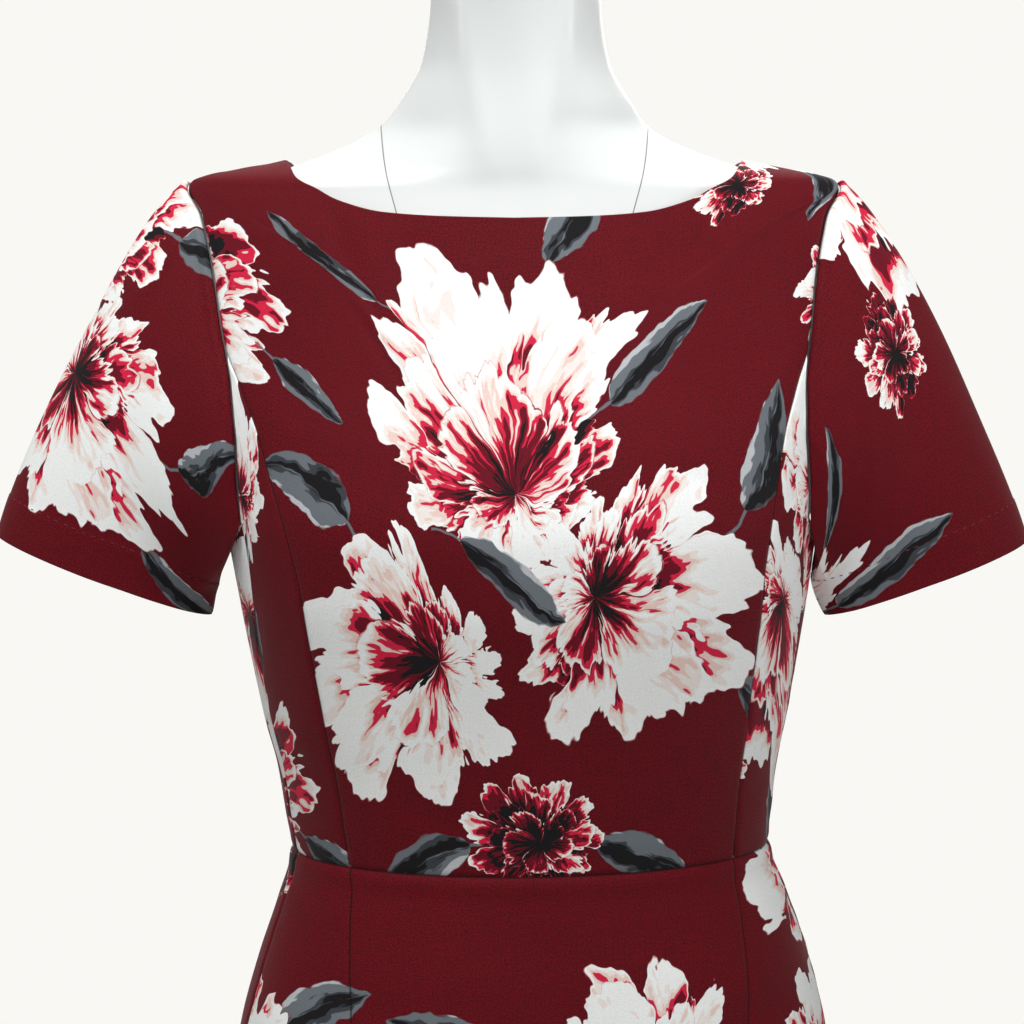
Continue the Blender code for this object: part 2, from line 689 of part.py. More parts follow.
def zip_frame():
    """The place of the zip's slider: x across, y out of the cloth, z up the seam."""
    spot = Spot(180.0, ZIP_TOP - SLIDER_SIZE[2] / 2.0)
    out = cloth_point(spot, WALL) - cloth_point(spot, 0.0)
    out.x = 0.0
    out.normalize()
    across = Vector((1.0, 0.0, 0.0))
    up = across.cross(out)
    frame = Matrix((across, out, up)).transposed().to_4x4()
    frame.translation = cloth_point(spot, WALL) + out * (2.0 * TOUCH)
    return frame


def box(shape, low, high):
    """Adds a box between two corners to a shape and gives its corners."""
    size = Vector(high) - Vector(low)
    middle = (Vector(low) + Vector(high)) / 2.0
    place = Matrix.Translation(middle) @ Matrix.Diagonal((*size, 1.0))
    return bmesh.ops.create_cube(shape, size=1.0, matrix=place)["verts"]


def build_slider(frame):
    """The slider: a tapered body with a crown, the arch that the pull tab hangs on."""
    width, depth, length = SLIDER_SIZE
    shape = bmesh.new()
    for vert in box(shape, (-width / 2.0, 0.0, -length / 2.0), (width / 2.0, depth, length / 2.0)):
        if vert.co.z < 0.0:
            vert.co.x *= SLIDER_TAPER
    body = add_object("zip_slider", mesh_from(shape, "zip_slider"), ENAMEL)
    gap, reach = CROWN_OPENING
    outline = [
        (-reach / 2.0 - CROWN_BAR, -CROWN_BAR),
        (-reach / 2.0 - CROWN_BAR, gap * 0.55),
        (-reach / 2.0 * 0.70, gap + CROWN_BAR),
        (reach / 2.0 * 0.70, gap + CROWN_BAR),
        (reach / 2.0 + CROWN_BAR, gap * 0.55),
        (reach / 2.0 + CROWN_BAR, -CROWN_BAR),
        (reach / 2.0, -CROWN_BAR),
        (reach / 2.0, gap * 0.50),
        (reach / 2.0 * 0.60, gap),
        (-reach / 2.0 * 0.60, gap),
        (-reach / 2.0, gap * 0.50),
        (-reach / 2.0, -CROWN_BAR),
    ]
    arch = bmesh.new()
    sides = [
        [arch.verts.new((x, depth + out, along)) for along, out in outline]
        for x in (-CROWN_WIDTH / 2.0, CROWN_WIDTH / 2.0)
    ]
    arch.faces.new(sides[0])
    arch.faces.new(sides[1][::-1])
    for j in range(len(outline)):
        k = (j + 1) % len(outline)
        arch.faces.new((sides[0][j], sides[0][k], sides[1][k], sides[1][j]))
    crown = bpy.data.objects.new("zip_crown", mesh_from(arch, "zip_crown"))
    crown.hide_render = True
    crown.display_type = "WIRE"
    bpy.data.collections["cutters"].objects.link(crown)
    body.matrix_world = frame
    crown.matrix_world = frame
    union = body.modifiers.new("crown", "BOOLEAN")
    union.operation = "UNION"
    union.solver = "EXACT"
    union.object = crown


def build_tab(frame):
    """The pull tab: a flat drop with an eye, whose upper bar lies under the slider's crown."""
    eye_width, eye_length = TAB_EYE
    arm = (TAB_TOP_WIDTH - eye_width) / 2.0
    bar = TAB_BAR / 2.0
    end = -TAB_LENGTH
    outline = [
        (-TAB_TOP_WIDTH / 2.0, bar),
        (TAB_TOP_WIDTH / 2.0, bar),
        (TAB_TOP_WIDTH / 2.0, -bar - eye_length),
        (TAB_END_WIDTH / 2.0, end + TAB_END_WIDTH / 2.0),
    ]
    for step in range(1, 6):
        lean = math.pi * step / 6.0
        x = TAB_END_WIDTH / 2.0 * math.cos(lean)
        outline.append((x, end + TAB_END_WIDTH / 2.0 * (1.0 - math.sin(lean))))
    outline.append((-TAB_END_WIDTH / 2.0, end + TAB_END_WIDTH / 2.0))
    outline.append((-TAB_TOP_WIDTH / 2.0, -bar - eye_length))
    inset = TAB_TOP_WIDTH / 2.0 - arm
    eye = [(-inset, -bar), (inset, -bar), (inset, -bar - eye_length), (-inset, -bar - eye_length)]
    curve = bpy.data.curves.new("tab_outline", "CURVE")
    curve.dimensions = "2D"
    curve.fill_mode = "BOTH"
    curve.extrude = TAB_THICKNESS / 2.0
    for loop in (outline, eye):
        spline = curve.splines.new("POLY")
        spline.points.add(len(loop) - 1)
        for point, (x, y) in zip(spline.points, loop):
            point.co = (x, y, 0.0, 1.0)
        spline.use_cyclic_u = True
    flat = bpy.data.objects.new("tab_outline", curve)
    bpy.context.scene.collection.objects.link(flat)
    depsgraph = bpy.context.evaluated_depsgraph_get()
    mesh = bpy.data.meshes.new_from_object(flat.evaluated_get(depsgraph))
    bpy.data.objects.remove(flat)
    shape = bmesh.new()
    shape.from_mesh(mesh)
    bmesh.ops.remove_doubles(shape, verts=shape.verts, dist=0.00001)
    bpy.data.meshes.remove(mesh)
    tab = add_object("zip_tab", mesh_from(shape, "zip_tab"), ENAMEL)
    pivot = Vector((0.0, SLIDER_SIZE[1] + CROWN_OPENING[0] / 2.0, 0.0))
    upright = Matrix.Rotation(math.radians(90.0), 4, "X")
    tab.matrix_world = frame @ Matrix.Translation(pivot) @ upright
    return tab


def clear_scene():
    """Empties the scene and makes the two collections."""
    for thing in list(bpy.data.objects):
        bpy.data.objects.remove(thing)
    for name in ("sheath_dress", "cutters"):
        collection = bpy.data.collections.new(name)
        bpy.context.scene.collection.children.link(collection)


def main():
    """Builds the form, its stand and the dress on it."""
    clear_scene()
    build_form()
    build_neck_cap()
    build_stand()
    seams = bodice_seams()
    bodice_back = build_bodice(seams)
    skirt_back = build_skirt()
    build_sleeve("sleeve_left", seams, 1)
    build_sleeve("sleeve_right", seams, -1)
    build_zip_tape(bodice_back, skirt_back)
    frame = zip_frame()
    build_slider(frame)
    build_tab(frame)


main()
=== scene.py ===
"""A printed sheath dress with short sleeves on a glossy limbless dress form.

Metres, +Z up. The wearer faces -Y, so the wearer's left is +X. The cloth lies on the same worked-out
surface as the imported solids, cut into the same panels, and is dressed here with its rolled seams, soft
folds, hem stitches and printed crepe.
"""

import logging
import math
from collections.abc import Callable, Sequence
from dataclasses import dataclass, field
from enum import Enum

import bpy
import numpy as np
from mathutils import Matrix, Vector


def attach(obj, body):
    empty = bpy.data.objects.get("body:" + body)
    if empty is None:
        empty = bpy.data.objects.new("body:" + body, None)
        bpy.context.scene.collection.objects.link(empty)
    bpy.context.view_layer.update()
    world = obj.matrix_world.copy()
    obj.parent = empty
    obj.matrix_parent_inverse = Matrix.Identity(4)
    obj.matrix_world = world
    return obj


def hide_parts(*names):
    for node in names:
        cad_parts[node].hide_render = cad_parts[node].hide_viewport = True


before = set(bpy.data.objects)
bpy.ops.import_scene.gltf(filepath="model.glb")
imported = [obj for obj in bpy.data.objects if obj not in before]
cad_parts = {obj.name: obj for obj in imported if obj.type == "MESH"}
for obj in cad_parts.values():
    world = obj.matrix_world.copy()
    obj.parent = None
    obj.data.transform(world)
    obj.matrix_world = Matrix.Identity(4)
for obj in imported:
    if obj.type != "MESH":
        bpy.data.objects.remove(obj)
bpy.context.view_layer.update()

log = logging.getLogger("sheath_dress")
DRESS_BODY = "dress_on_form"
Array = np.ndarray
Field = Callable[[Array], Array]
Pair = tuple[float, float]
Rgba = tuple[float, ...]
Tree = bpy.types.NodeTree
Thing = bpy.types.Object
Material = bpy.types.Material


# ---- The surface that the form and the cloth share ----


class SmoothColumn:
    """A column of a table that runs smoothly through its values and never overshoots them."""

    def __init__(self, knots: Sequence[float], values: Sequence[float]) -> None:
        """Works out the slope at each knot.

        Args:
            knots: Places in rising order.
            values: The value at each place.
        """
        self.knots = np.asarray(knots, float)
        self.values = np.asarray(values, float)
        self.steps = np.diff(self.knots)
        rises = np.diff(self.values) / self.steps
        before, after = rises[:-1], rises[1:]
        near = 2.0 * self.steps[1:] + self.steps[:-1]
        far = self.steps[1:] + 2.0 * self.steps[:-1]
        same_way = before * after > 0.0
        safe_before = np.where(same_way, before, 1.0)
        safe_after = np.where(same_way, after, 1.0)
        inner = np.where(same_way, (near + far) / (near / safe_before + far / safe_after), 0.0)
        self.slopes = np.concatenate(([rises[0]], inner, [rises[-1]]))

    def __call__(self, places: Array) -> Array:
        """The column's value at each place.

        Args:
            places: Any array of places. Those past an end take that end's value.

        Returns:
            An array of the same shape.
        """
        held = np.clip(places, self.knots[0], self.knots[-1])
        index = np.clip(np.searchsorted(self.knots, held, side="right") - 1, 0, len(self.steps) - 1)
        step = self.steps[index]
        t = (held - self.knots[index]) / step
        start = (1.0 + 2.0 * t) * (1.0 - t) ** 2 * self.values[index]
        end = t * t * (3.0 - 2.0 * t) * self.values[index + 1]
        leave = t * (1.0 - t) ** 2 * step * self.slopes[index]
        arrive = t * t * (t - 1.0) * step * self.slopes[index + 1]
        return start + end + leave + arrive


def unit(vectors: Array) -> Array:
    """The vectors at length one."""
    return vectors / np.maximum(np.linalg.norm(vectors, axis=-1, keepdims=True), 1e-12)


def bell(distance: Array, width: float) -> Array:
    """A soft bump of height one that falls off over a width."""
    return np.exp(-((distance / width) ** 2))


def half_wave(share: Array) -> Array:
    """A smooth fall from one to zero as a share goes from 0 to 1."""
    return 0.5 + 0.5 * np.cos(np.pi * np.clip(share, 0.0, 1.0))


def run_along(points: Array) -> Array:
    """The length of a line of points from its start to each of them."""
    return np.concatenate(([0.0], np.cumsum(np.linalg.norm(np.diff(points, axis=0), axis=1))))


def grid_runs(points: Array) -> tuple[Array, Array]:
    """The lengths across and up a grid of points.

    Args:
        points: Points as rows up and columns across.

    Returns:
        The lengths from the first column and from the lowest row.
    """
    across = np.linalg.norm(np.diff(points, axis=1), axis=-1)
    upward = np.linalg.norm(np.diff(points, axis=0), axis=-1)
    run = np.concatenate((np.zeros((len(points), 1)), np.cumsum(across, axis=1)), axis=1)
    climb = np.concatenate((np.zeros((1, points.shape[1])), np.cumsum(upward, axis=0)), axis=0)
    return run, climb


def columns_at(places: Array, knots: Array, table: Array) -> Array:
    """A table's columns at places between its knots."""
    return np.stack([np.interp(places, knots, column) for column in table.T], axis=-1)


def link_object(name: str, data: bpy.types.ID) -> Thing:
    """Makes an object of a mesh, lamp or lens and links it to the scene."""
    thing = bpy.data.objects.new(name, data)
    bpy.context.scene.collection.objects.link(thing)
    return thing


@dataclass(frozen=True)
class Figure:
    """The form's skin, from the garment's hem level to the top of the neck.

    Each row holds the height, the half width, the depths in front and behind, the section's exponent at
    the centre and along the side and shoulder, the shift and turn of the stance, the room under the cloth
    and how much further in the form lies.
    """

    rows: tuple[tuple[float, ...], ...] = (
        (0.450, 0.1675, 0.1035, 0.1075, 2.20, 2.20, 0.0110, 6.0, 0.0030, 0.0008),
        (0.620, 0.1720, 0.1070, 0.1120, 2.20, 2.20, 0.0110, 6.0, 0.0030, 0.0008),
        (0.760, 0.1755, 0.1100, 0.1160, 2.20, 2.20, 0.0115, 6.0, 0.0030, 0.0008),
        (0.860, 0.1760, 0.1120, 0.1190, 2.20, 2.20, 0.0120, 6.0, 0.0030, 0.0008),
        (0.944, 0.1655, 0.1100, 0.1140, 2.20, 2.20, 0.0125, 6.0, 0.0030, 0.0008),
        (0.988, 0.1543, 0.1050, 0.1040, 2.15, 2.15, 0.0128, 6.0, 0.0030, 0.0008),
        (1.021, 0.1433, 0.0990, 0.0950, 2.10, 2.10, 0.0122, 6.0, 0.0030, 0.0008),
        (1.053, 0.1333, 0.0950, 0.0880, 2.05, 2.05, 0.0108, 6.0, 0.0030, 0.0008),
        (1.073, 0.1357, 0.0975, 0.0870, 2.05, 2.05, 0.0099, 5.8, 0.0030, 0.0008),
        (1.103, 0.1396, 0.1025, 0.0875, 2.10, 2.10, 0.0090, 5.4, 0.0030, 0.0008),
        (1.126, 0.1450, 0.1075, 0.0890, 2.15, 2.15, 0.0081, 5.0, 0.0030, 0.0008),
        (1.153, 0.1500, 0.1145, 0.0915, 2.20, 2.20, 0.0072, 4.5, 0.0030, 0.0008),
        (1.175, 0.1540, 0.1210, 0.0940, 2.25, 2.25, 0.0067, 4.0, 0.0028, 0.0008),
        (1.205, 0.1590, 0.1290, 0.0970, 2.30, 2.30, 0.0062, 3.4, 0.0026, 0.0012),
        (1.235, 0.1640, 0.1315, 0.1000, 2.30, 2.30, 0.0054, 2.7, 0.0024, 0.0016),
        (1.280, 0.1750, 0.1210, 0.1030, 2.15, 2.15, 0.0042, 1.6, 0.0022, 0.0016),
        (1.320, 0.1860, 0.1060, 0.1030, 1.95, 1.95, 0.0030, 0.8, 0.0022, 0.0014),
        (1.360, 0.1900, 0.0920, 0.0990, 1.82, 1.75, 0.0020, 0.2, 0.0022, 0.0012),
        (1.400, 0.1890, 0.0780, 0.0900, 1.76, 1.55, 0.0012, 0.0, 0.0021, 0.0020),
        (1.420, 0.1860, 0.0720, 0.0840, 1.74, 1.40, 0.0010, 0.0, 0.0012, 0.0036),
        (1.430, 0.1810, 0.0690, 0.0800, 1.74, 1.33, 0.0010, 0.0, 0.0008, 0.0040),
        (1.442, 0.1280, 0.0660, 0.0760, 1.76, 1.33, 0.0015, 0.0, 0.0008, 0.0028),
        (1.462, 0.0770, 0.0600, 0.0700, 1.82, 1.50, 0.0010, 0.0, 0.0008, 0.0006),
        (1.477, 0.0645, 0.0560, 0.0640, 1.92, 1.80, 0.0020, 0.0, 0.0008, 0.0000),
        (1.500, 0.0523, 0.0520, 0.0580, 2.00, 2.00, 0.0020, 0.0, 0.0008, 0.0000),
        (1.533, 0.0477, 0.0500, 0.0540, 2.00, 2.00, 0.0020, 0.0, 0.0008, 0.0000),
        (1.600, 0.0460, 0.0500, 0.0520, 2.00, 2.00, 0.0020, 0.0, 0.0008, 0.0000),
    )
    softness: float = 0.12
    turn_step: float = 1.1
    height_step: float = 0.0015

    def columns(self) -> list[SmoothColumn]:
        """The nine columns as smooth functions of height."""
        table = np.asarray(self.rows)
        return [SmoothColumn(table[:, 0], table[:, k]) for k in range(1, 10)]

    def rounded(self, value: Array, exponent: Array) -> Array:
        """Near the power of a number's size, with its sign, but straight through zero."""
        soft = self.softness**2
        return value * ((value * value + soft) / (1.0 + soft)) ** ((exponent - 1.0) / 2.0)

    def skin(self, spots: Array, shrink: float = 0.0) -> Array:
        """Points of the skin.

        Args:
            spots: Angles in degrees from the front centre and heights, in the last axis.
            shrink: How far the skin is drawn in, level, towards the middle.

        Returns:
            Points in the last axis.
        """
        angle, height = np.radians(spots[..., 0]), spots[..., 1]
        wide, front, back, centre, side, shift, turn = (c(height) for c in self.columns()[:7])
        sideways = np.sin(angle) ** 2
        exponent = 2.0 / centre * (1.0 - sideways) + 2.0 / side * sideways
        across = (wide - shrink) * self.rounded(np.sin(angle), exponent)
        depth = np.where(np.cos(angle) > 0.0, front, back)
        along = -(depth - shrink) * self.rounded(np.cos(angle), exponent)
        turn = np.radians(turn)
        x = across * np.cos(turn) - along * np.sin(turn) + shift
        y = across * np.sin(turn) + along * np.cos(turn)
        return np.stack((x, y, height + 0.0 * x), axis=-1)

    def normal(self, spots: Array) -> Array:
        """The directions straight out of the skin at the spots."""
        turn = np.array((self.turn_step, 0.0))
        rise = np.array((0.0, self.height_step))
        around = self.skin(spots + turn) - self.skin(spots - turn)
        upward = self.skin(spots + rise) - self.skin(spots - rise)
        return unit(np.cross(around, upward))

    def cloth(self, spots: Array, lift: float = 0.0) -> Array:
        """Points of the cloth's inner face at the spots, moved out by a lift."""
        room = self.columns()[7](spots[..., 1])
        return self.skin(spots) + self.normal(spots) * (room + lift)[..., None]

    def form(self, spots: Array) -> Array:
        """Points of the form's own surface at the spots."""
        dip = self.columns()[8](spots[..., 1])
        return self.skin(spots) - self.normal(spots) * dip[..., None]


FIGURE = Figure()


# ---- Seams, edges and the patches between them ----

WALL = 0.0015
WAIST = 1.053
HEM = 0.462
UNDERARM = 1.2445
SHOULDER_POINT = 1.4297
NECK_POINT = 1.4420
PRINCESS_AT_WAIST = 52.2
SIDE_AT_WAIST = 80.5
SHOULDER_ANGLE = 90.0
BACK_CENTRE = 180.0
FINE = (0.0003, 0.0007, 0.0012, 0.0019, 0.0028, 0.0042)

PRINCESS_SEAM = (
    (WAIST, PRINCESS_AT_WAIST), (1.090, 51.8), (1.138, 50.2), (1.187, 49.0),
    (1.212, 48.6), (1.249, 49.8), (1.272, 51.1), (1.296, 52.2),
    (1.317, 54.6), (1.338, 58.5),
)
SIDE_SEAM = (
    (0.450, 84.0), (0.860, 83.0), (WAIST, SIDE_AT_WAIST), (1.110, 78.5),
    (1.159, 75.0), (1.180, 72.4), (1.204, 69.8), (1.222, 67.8),
    (UNDERARM, 66.4),
)
NECK_FRONT = (
    (0.0, 1.4122), (15.4, 1.4130), (26.1, 1.4150), (36.0, 1.4215),
    (44.4, 1.4300), (58.8, 1.4368), (74.8, 1.4405), (90.0, NECK_POINT),
)
NECK_BACK = (
    (90.0, NECK_POINT), (105.2, 1.4405), (121.2, 1.4365), (135.2, 1.4290),
    (147.0, 1.4195), (158.4, 1.4115), (170.2, 1.4065), (180.0, 1.4050),
)
ARMHOLE_UPPER = (
    (58.5, 1.338), (60.6, 1.359), (63.5, 1.382), (67.5, 1.403),
    (71.5, 1.414), (79.2, 1.423), (90.0, SHOULDER_POINT),
)
ARMHOLE_LOWER = (
    (58.5, 1.338), (57.7, 1.320), (58.8, 1.299), (61.5, 1.279),
    (64.4, 1.260), (66.4, UNDERARM),
)
ARMHOLE_BACK = (
    (66.4, UNDERARM), (72.5, 1.2365), (81.0, 1.2335), (90.0, 1.2345),
    (98.5, 1.2430), (106.0, 1.258), (112.0, 1.279), (116.0, 1.302),
    (118.5, 1.326), (118.5, 1.350), (116.5, 1.375), (112.0, 1.398),
    (104.5, 1.416), (90.0, SHOULDER_POINT),
)


class Edge:
    """An edge of a panel, as spots at even lengths along the cloth."""

    FINE = 240

    def __init__(self, path: Field, crowd: float = 1.0) -> None:
        """Measures the path.

        Args:
            path: Spots for shares from 0 to 1.
            crowd: Over 1 crowds the even lengths towards the end.
        """
        shares = np.linspace(0.0, 1.0, self.FINE + 1)
        spots = path(shares)
        places = FIGURE.cloth(spots, WALL)
        run = run_along(places)
        wanted = run[-1] * (1.0 - (1.0 - shares) ** crowd)
        self.shares = shares
        self.spots = columns_at(wanted, run, spots)

    def at(self, shares: Array) -> Array:
        """The spots at shares of the edge."""
        return columns_at(shares, self.shares, self.spots)


class JoinedEdge:
    """Several edges that meet end to end, each with its own part of the shares."""

    def __init__(self, *parts: tuple[Edge, float]) -> None:
        """Keeps the edges and the part of the shares that each has.

        Args:
            parts: Each edge with its weight.
        """
        self.edges = [edge for edge, _ in parts]
        weights = np.array([weight for _, weight in parts], float)
        self.stops = np.concatenate(([0.0], np.cumsum(weights) / weights.sum()))

    def at(self, shares: Array) -> Array:
        """The spots at shares of the whole."""
        spots = np.zeros((*np.shape(shares), 2))
        for edge, low, high in zip(self.edges, self.stops[:-1], self.stops[1:]):
            inside = (shares >= low) & (shares <= high)
            spots[inside] = edge.at((shares[inside] - low) / (high - low))
        return spots


def through(rows: Sequence[Pair]) -> Field:
    """A smooth path through an edge's own spots."""
    places = np.arange(len(rows), dtype=float)
    angle = SmoothColumn(places, [row[0] for row in rows])
    height = SmoothColumn(places, [row[1] for row in rows])
    last = len(rows) - 1
    return lambda shares: np.stack((angle(shares * last), height(shares * last)), axis=-1)


def up_seam(rows: Sequence[Pair], low: float, high: float) -> Field:
    """A path up a seam.

    Args:
        rows: The seam's heights and angles.
        low: The height where the path starts.
        high: The height where it ends.

    Returns:
        The path, from shares to spots.
    """
    angle = SmoothColumn([row[0] for row in rows], [row[1] for row in rows])

    def path(shares: Array) -> Array:
        """The spots at shares of the climb."""
        height = low + (high - low) * shares
        return np.stack((angle(height), height), axis=-1)

    return path


def straight(first: Pair, last: Pair) -> Field:
    """A path between two spots, straight in angle and height."""
    start, end = np.array(first), np.array(last)
    return lambda shares: start + (end - start) * shares[..., None]


def fine_shares(steps: int, length: float, both_ends: bool = True) -> Array:
    """Shares from 0 to 1 in even steps, with more at an edge that rolls.

    Args:
        steps: How many even steps.
        length: The real length that the shares cover.
        both_ends: Makes the start fine too, and not only the end.

    Returns:
        The shares in rising order.
    """
    extra = [value / length for value in FINE]
    reach = extra[-1] * 1.3
    shares = list(np.linspace(0.0, 1.0, steps + 1))
    if both_ends:
        shares = [s for s in shares if s == 0.0 or s > reach] + extra
    shares = [s for s in shares if s == 1.0 or s < 1.0 - reach] + [1.0 - e for e in extra]
    return np.array(sorted(shares))


def patch(left: Edge, right: Edge, bottom: Edge, top: Edge, u: Array, v: Array) -> Array:
    """Spots that fill the patch between four edges.

    Args:
        left: The edge that climbs at u 0.
        right: The edge that climbs at u 1.
        bottom: The edge that runs across at v 0.
        top: The edge that runs across at v 1.
        u: Shares across.
        v: Shares up.

    Returns:
        Spots as rows up and columns across.
    """
    across, up = u[None, :, None], v[:, None, None]
    sides = left.at(v)[:, None] * (1.0 - across) + right.at(v)[:, None] * across
    ends = bottom.at(u)[None] * (1.0 - up) + top.at(u)[None] * up
    corner = [edge.at(np.array([0.0, 1.0])) for edge in (bottom, top)]
    low = corner[0][0] * (1.0 - across) + corner[0][1] * across
    high = corner[1][0] * (1.0 - across) + corner[1][1] * across
    return sides + ends - (low * (1.0 - up) + high * up)


def other_side(spots: Array) -> Array:
    """The same spots on the wearer's right, with their columns still in rising angle."""
    return spots[:, ::-1] * np.array((-1.0, 1.0))


# ---- The print: a repeat of blooms, buds and leaves, and where each panel is cut from it ----


class MotifKind(Enum):
    """What a motif of the print is. The number tells the shader."""

    LIGHT_BLOOM = 0
    DARK_BUD = 1
    LEAF = 2


class Layer(Enum):
    """The layer of the print that a motif lies in, from the cloth up, named as its mesh attribute."""

    LEAF_UNDER = "leaf_under"
    BLOOM_UNDER = "bloom_under"
    BLOOM_OVER = "bloom_over"
    LEAF_OVER = "leaf_over"


@dataclass(frozen=True)
class Motif:
    """One motif of the repeat: its layer and kind, its middle, its radius or half length, its turn."""

    layer: Layer
    kind: MotifKind
    x: float
    y: float
    size: float
    turn: float


LOW_LEAF = (Layer.LEAF_UNDER, MotifKind.LEAF)
LOW_BLOOM = (Layer.BLOOM_UNDER, MotifKind.LIGHT_BLOOM)
HIGH_BLOOM = (Layer.BLOOM_OVER, MotifKind.LIGHT_BLOOM)
HIGH_BUD = (Layer.BLOOM_OVER, MotifKind.DARK_BUD)
HIGH_LEAF = (Layer.LEAF_OVER, MotifKind.LEAF)


MOTIF_ROWS = (
    (LOW_BLOOM, 0.238, 0.318, 0.098, 14.0),
    (HIGH_BLOOM, 0.326, 0.188, 0.084, -128.0),
    (HIGH_BLOOM, 0.166, 0.150, 0.072, 118.0),
    (HIGH_BUD, 0.252, 0.078, 0.038, 30.0),
    (LOW_BLOOM, 0.466, 0.526, 0.086, 205.0),
    (HIGH_BUD, 0.390, 0.448, 0.036, 80.0),
    (HIGH_BLOOM, 0.048, 0.556, 0.066, -40.0),
    (LOW_BLOOM, 0.462, 0.036, 0.080, 70.0),
    (HIGH_BLOOM, 0.020, 0.330, 0.074, -75.0),
    (HIGH_BUD, 0.056, 0.066, 0.036, 200.0),
    (LOW_LEAF, 0.148, 0.386, 0.058, 150.0),
    (LOW_LEAF, 0.346, 0.322, 0.056, 22.0),
    (LOW_LEAF, 0.290, 0.424, 0.046, 66.0),
    (LOW_LEAF, 0.104, 0.224, 0.050, 160.0),
    (LOW_LEAF, 0.404, 0.122, 0.050, -40.0),
    (LOW_LEAF, 0.196, 0.062, 0.042, 206.0),
    (LOW_LEAF, 0.306, 0.066, 0.042, -20.0),
    (LOW_LEAF, 0.392, 0.560, 0.050, 150.0),
    (LOW_LEAF, 0.466, 0.424, 0.050, -80.0),
    (LOW_LEAF, 0.116, 0.590, 0.050, 24.0),
    (LOW_LEAF, 0.020, 0.432, 0.050, 96.0),
    (LOW_LEAF, 0.424, 0.238, 0.050, 50.0),
    (LOW_BLOOM, 0.300, 0.572, 0.066, 38.0),
    (LOW_LEAF, 0.206, 0.580, 0.048, 160.0),
    (LOW_LEAF, 0.090, 0.122, 0.042, 150.0),
    (HIGH_LEAF, 0.236, 0.222, 0.050, -22.0),
    (HIGH_LEAF, 0.004, 0.502, 0.044, 215.0),
    (HIGH_LEAF, 0.512, 0.108, 0.042, 128.0),
    (HIGH_LEAF, 0.086, 0.284, 0.040, -24.0),
)


@dataclass(frozen=True)
class PrintRepeat:
    """The cloth's printed repeat, in metres, with y up the grain."""

    width: float = 0.52
    height: float = 0.64
    kind_step: float = 100.0
    outside: float = 9.0
    leaf_reach: Pair = (1.15, 0.60)
    bloom_reach: Pair = (1.2, 1.2)
    farthest: float = 1.5
    motifs: tuple[Motif, ...] = tuple(Motif(*row[0], *row[1:]) for row in MOTIF_ROWS)

    def local(self, motif: Motif, middles: Array) -> tuple[Array, Array]:
        """Where each face middle lies in a motif's nearest repeat.

        Args:
            motif: The motif.
            middles: Face middles on the flat cloth.

        Returns:
            The middles in the motif's own scale, and the moves from the flat cloth to that repeat.
        """
        away = middles - np.array((motif.x, motif.y))
        size = np.array((self.width, self.height))
        moves = np.round(away / size) * size + np.array((motif.x, motif.y))
        return self.turned(motif, middles - moves), moves

    @staticmethod
    def turned(motif: Motif, away: Array) -> Array:
        """Flat distances from a motif's middle, turned and scaled into its own frame."""
        turn = math.radians(motif.turn)
        x = away[..., 0] * math.cos(turn) + away[..., 1] * math.sin(turn)
        y = away[..., 1] * math.cos(turn) - away[..., 0] * math.sin(turn)
        return np.stack((x, y), axis=-1) / motif.size

    def layer_values(self, layer: Layer, corners: Array) -> Array:
        """The nearest motif's own coordinates and number at each corner of each face.

        Args:
            layer: The layer of the print.
            corners: Flat places of the faces' corners, as faces, corners, two.

        Returns:
            x, y and the motif's number at each corner. Far corners lie outside any motif.
        """
        middles = corners.mean(axis=1)
        best = np.full(len(middles), self.farthest)
        values = np.full((*corners.shape[:2], 3), self.outside)
        for number, motif in enumerate(self.motifs):
            if motif.layer is not layer:
                continue
            near, moves = self.local(motif, middles)
            reach = self.leaf_reach if motif.kind is MotifKind.LEAF else self.bloom_reach
            far = np.linalg.norm(near / np.array(reach), axis=-1)
            chosen = far < best
            best[chosen] = far[chosen]
            own = self.turned(motif, corners[chosen] - moves[chosen][:, None])
            values[chosen, :, :2] = own
            values[chosen, :, 2] = number + self.kind_step * motif.kind.value
        return values


PRINT = PrintRepeat()


# ---- Sheets of cloth ----


class EdgeKind(Enum):
    """How a panel ends: sewn to its neighbour, or turned under and open."""

    SEWN = "sewn"
    OPEN = "open"


Edges = tuple[EdgeKind, EdgeKind, EdgeKind, EdgeKind]


@dataclass(frozen=True)
class Crease:
    """A soft trough or ridge across a panel, between two places of its flat cloth.

    A positive depth is a trough. The crease is deepest a share of the way along and fades to both ends.
    """

    start: Pair
    end: Pair
    depth: float
    width: float
    deepest: float = 0.5
    rim: float = 0.35
    rim_width: float = 2.2
    narrowest: float = 0.6

    def lift(self, flat: Array) -> Array:
        """How far the crease moves the cloth out.

        Args:
            flat: Flat places.

        Returns:
            The move at each of them.
        """
        start, end = np.array(self.start), np.array(self.end)
        line = end - start
        length = float(np.linalg.norm(line))
        along = ((flat - start) @ line) / length**2
        held = np.clip(along, 0.0, 1.0)
        side = ((flat - start) @ np.array((-line[1], line[0]))) / length
        past = (along - held) * length
        rise = np.clip(held / self.deepest, 0.0, 1.0)
        fall = np.clip((1.0 - held) / (1.0 - self.deepest), 0.0, 1.0)
        fade = np.sin(0.5 * np.pi * np.minimum(rise, fall)) ** 1.5
        wide = self.width * (self.narrowest + (1.0 - self.narrowest) * fade)
        across = bell(side, wide) - self.rim * bell(side, self.rim_width * wide)
        return -self.depth * fade * across * bell(past, self.width)


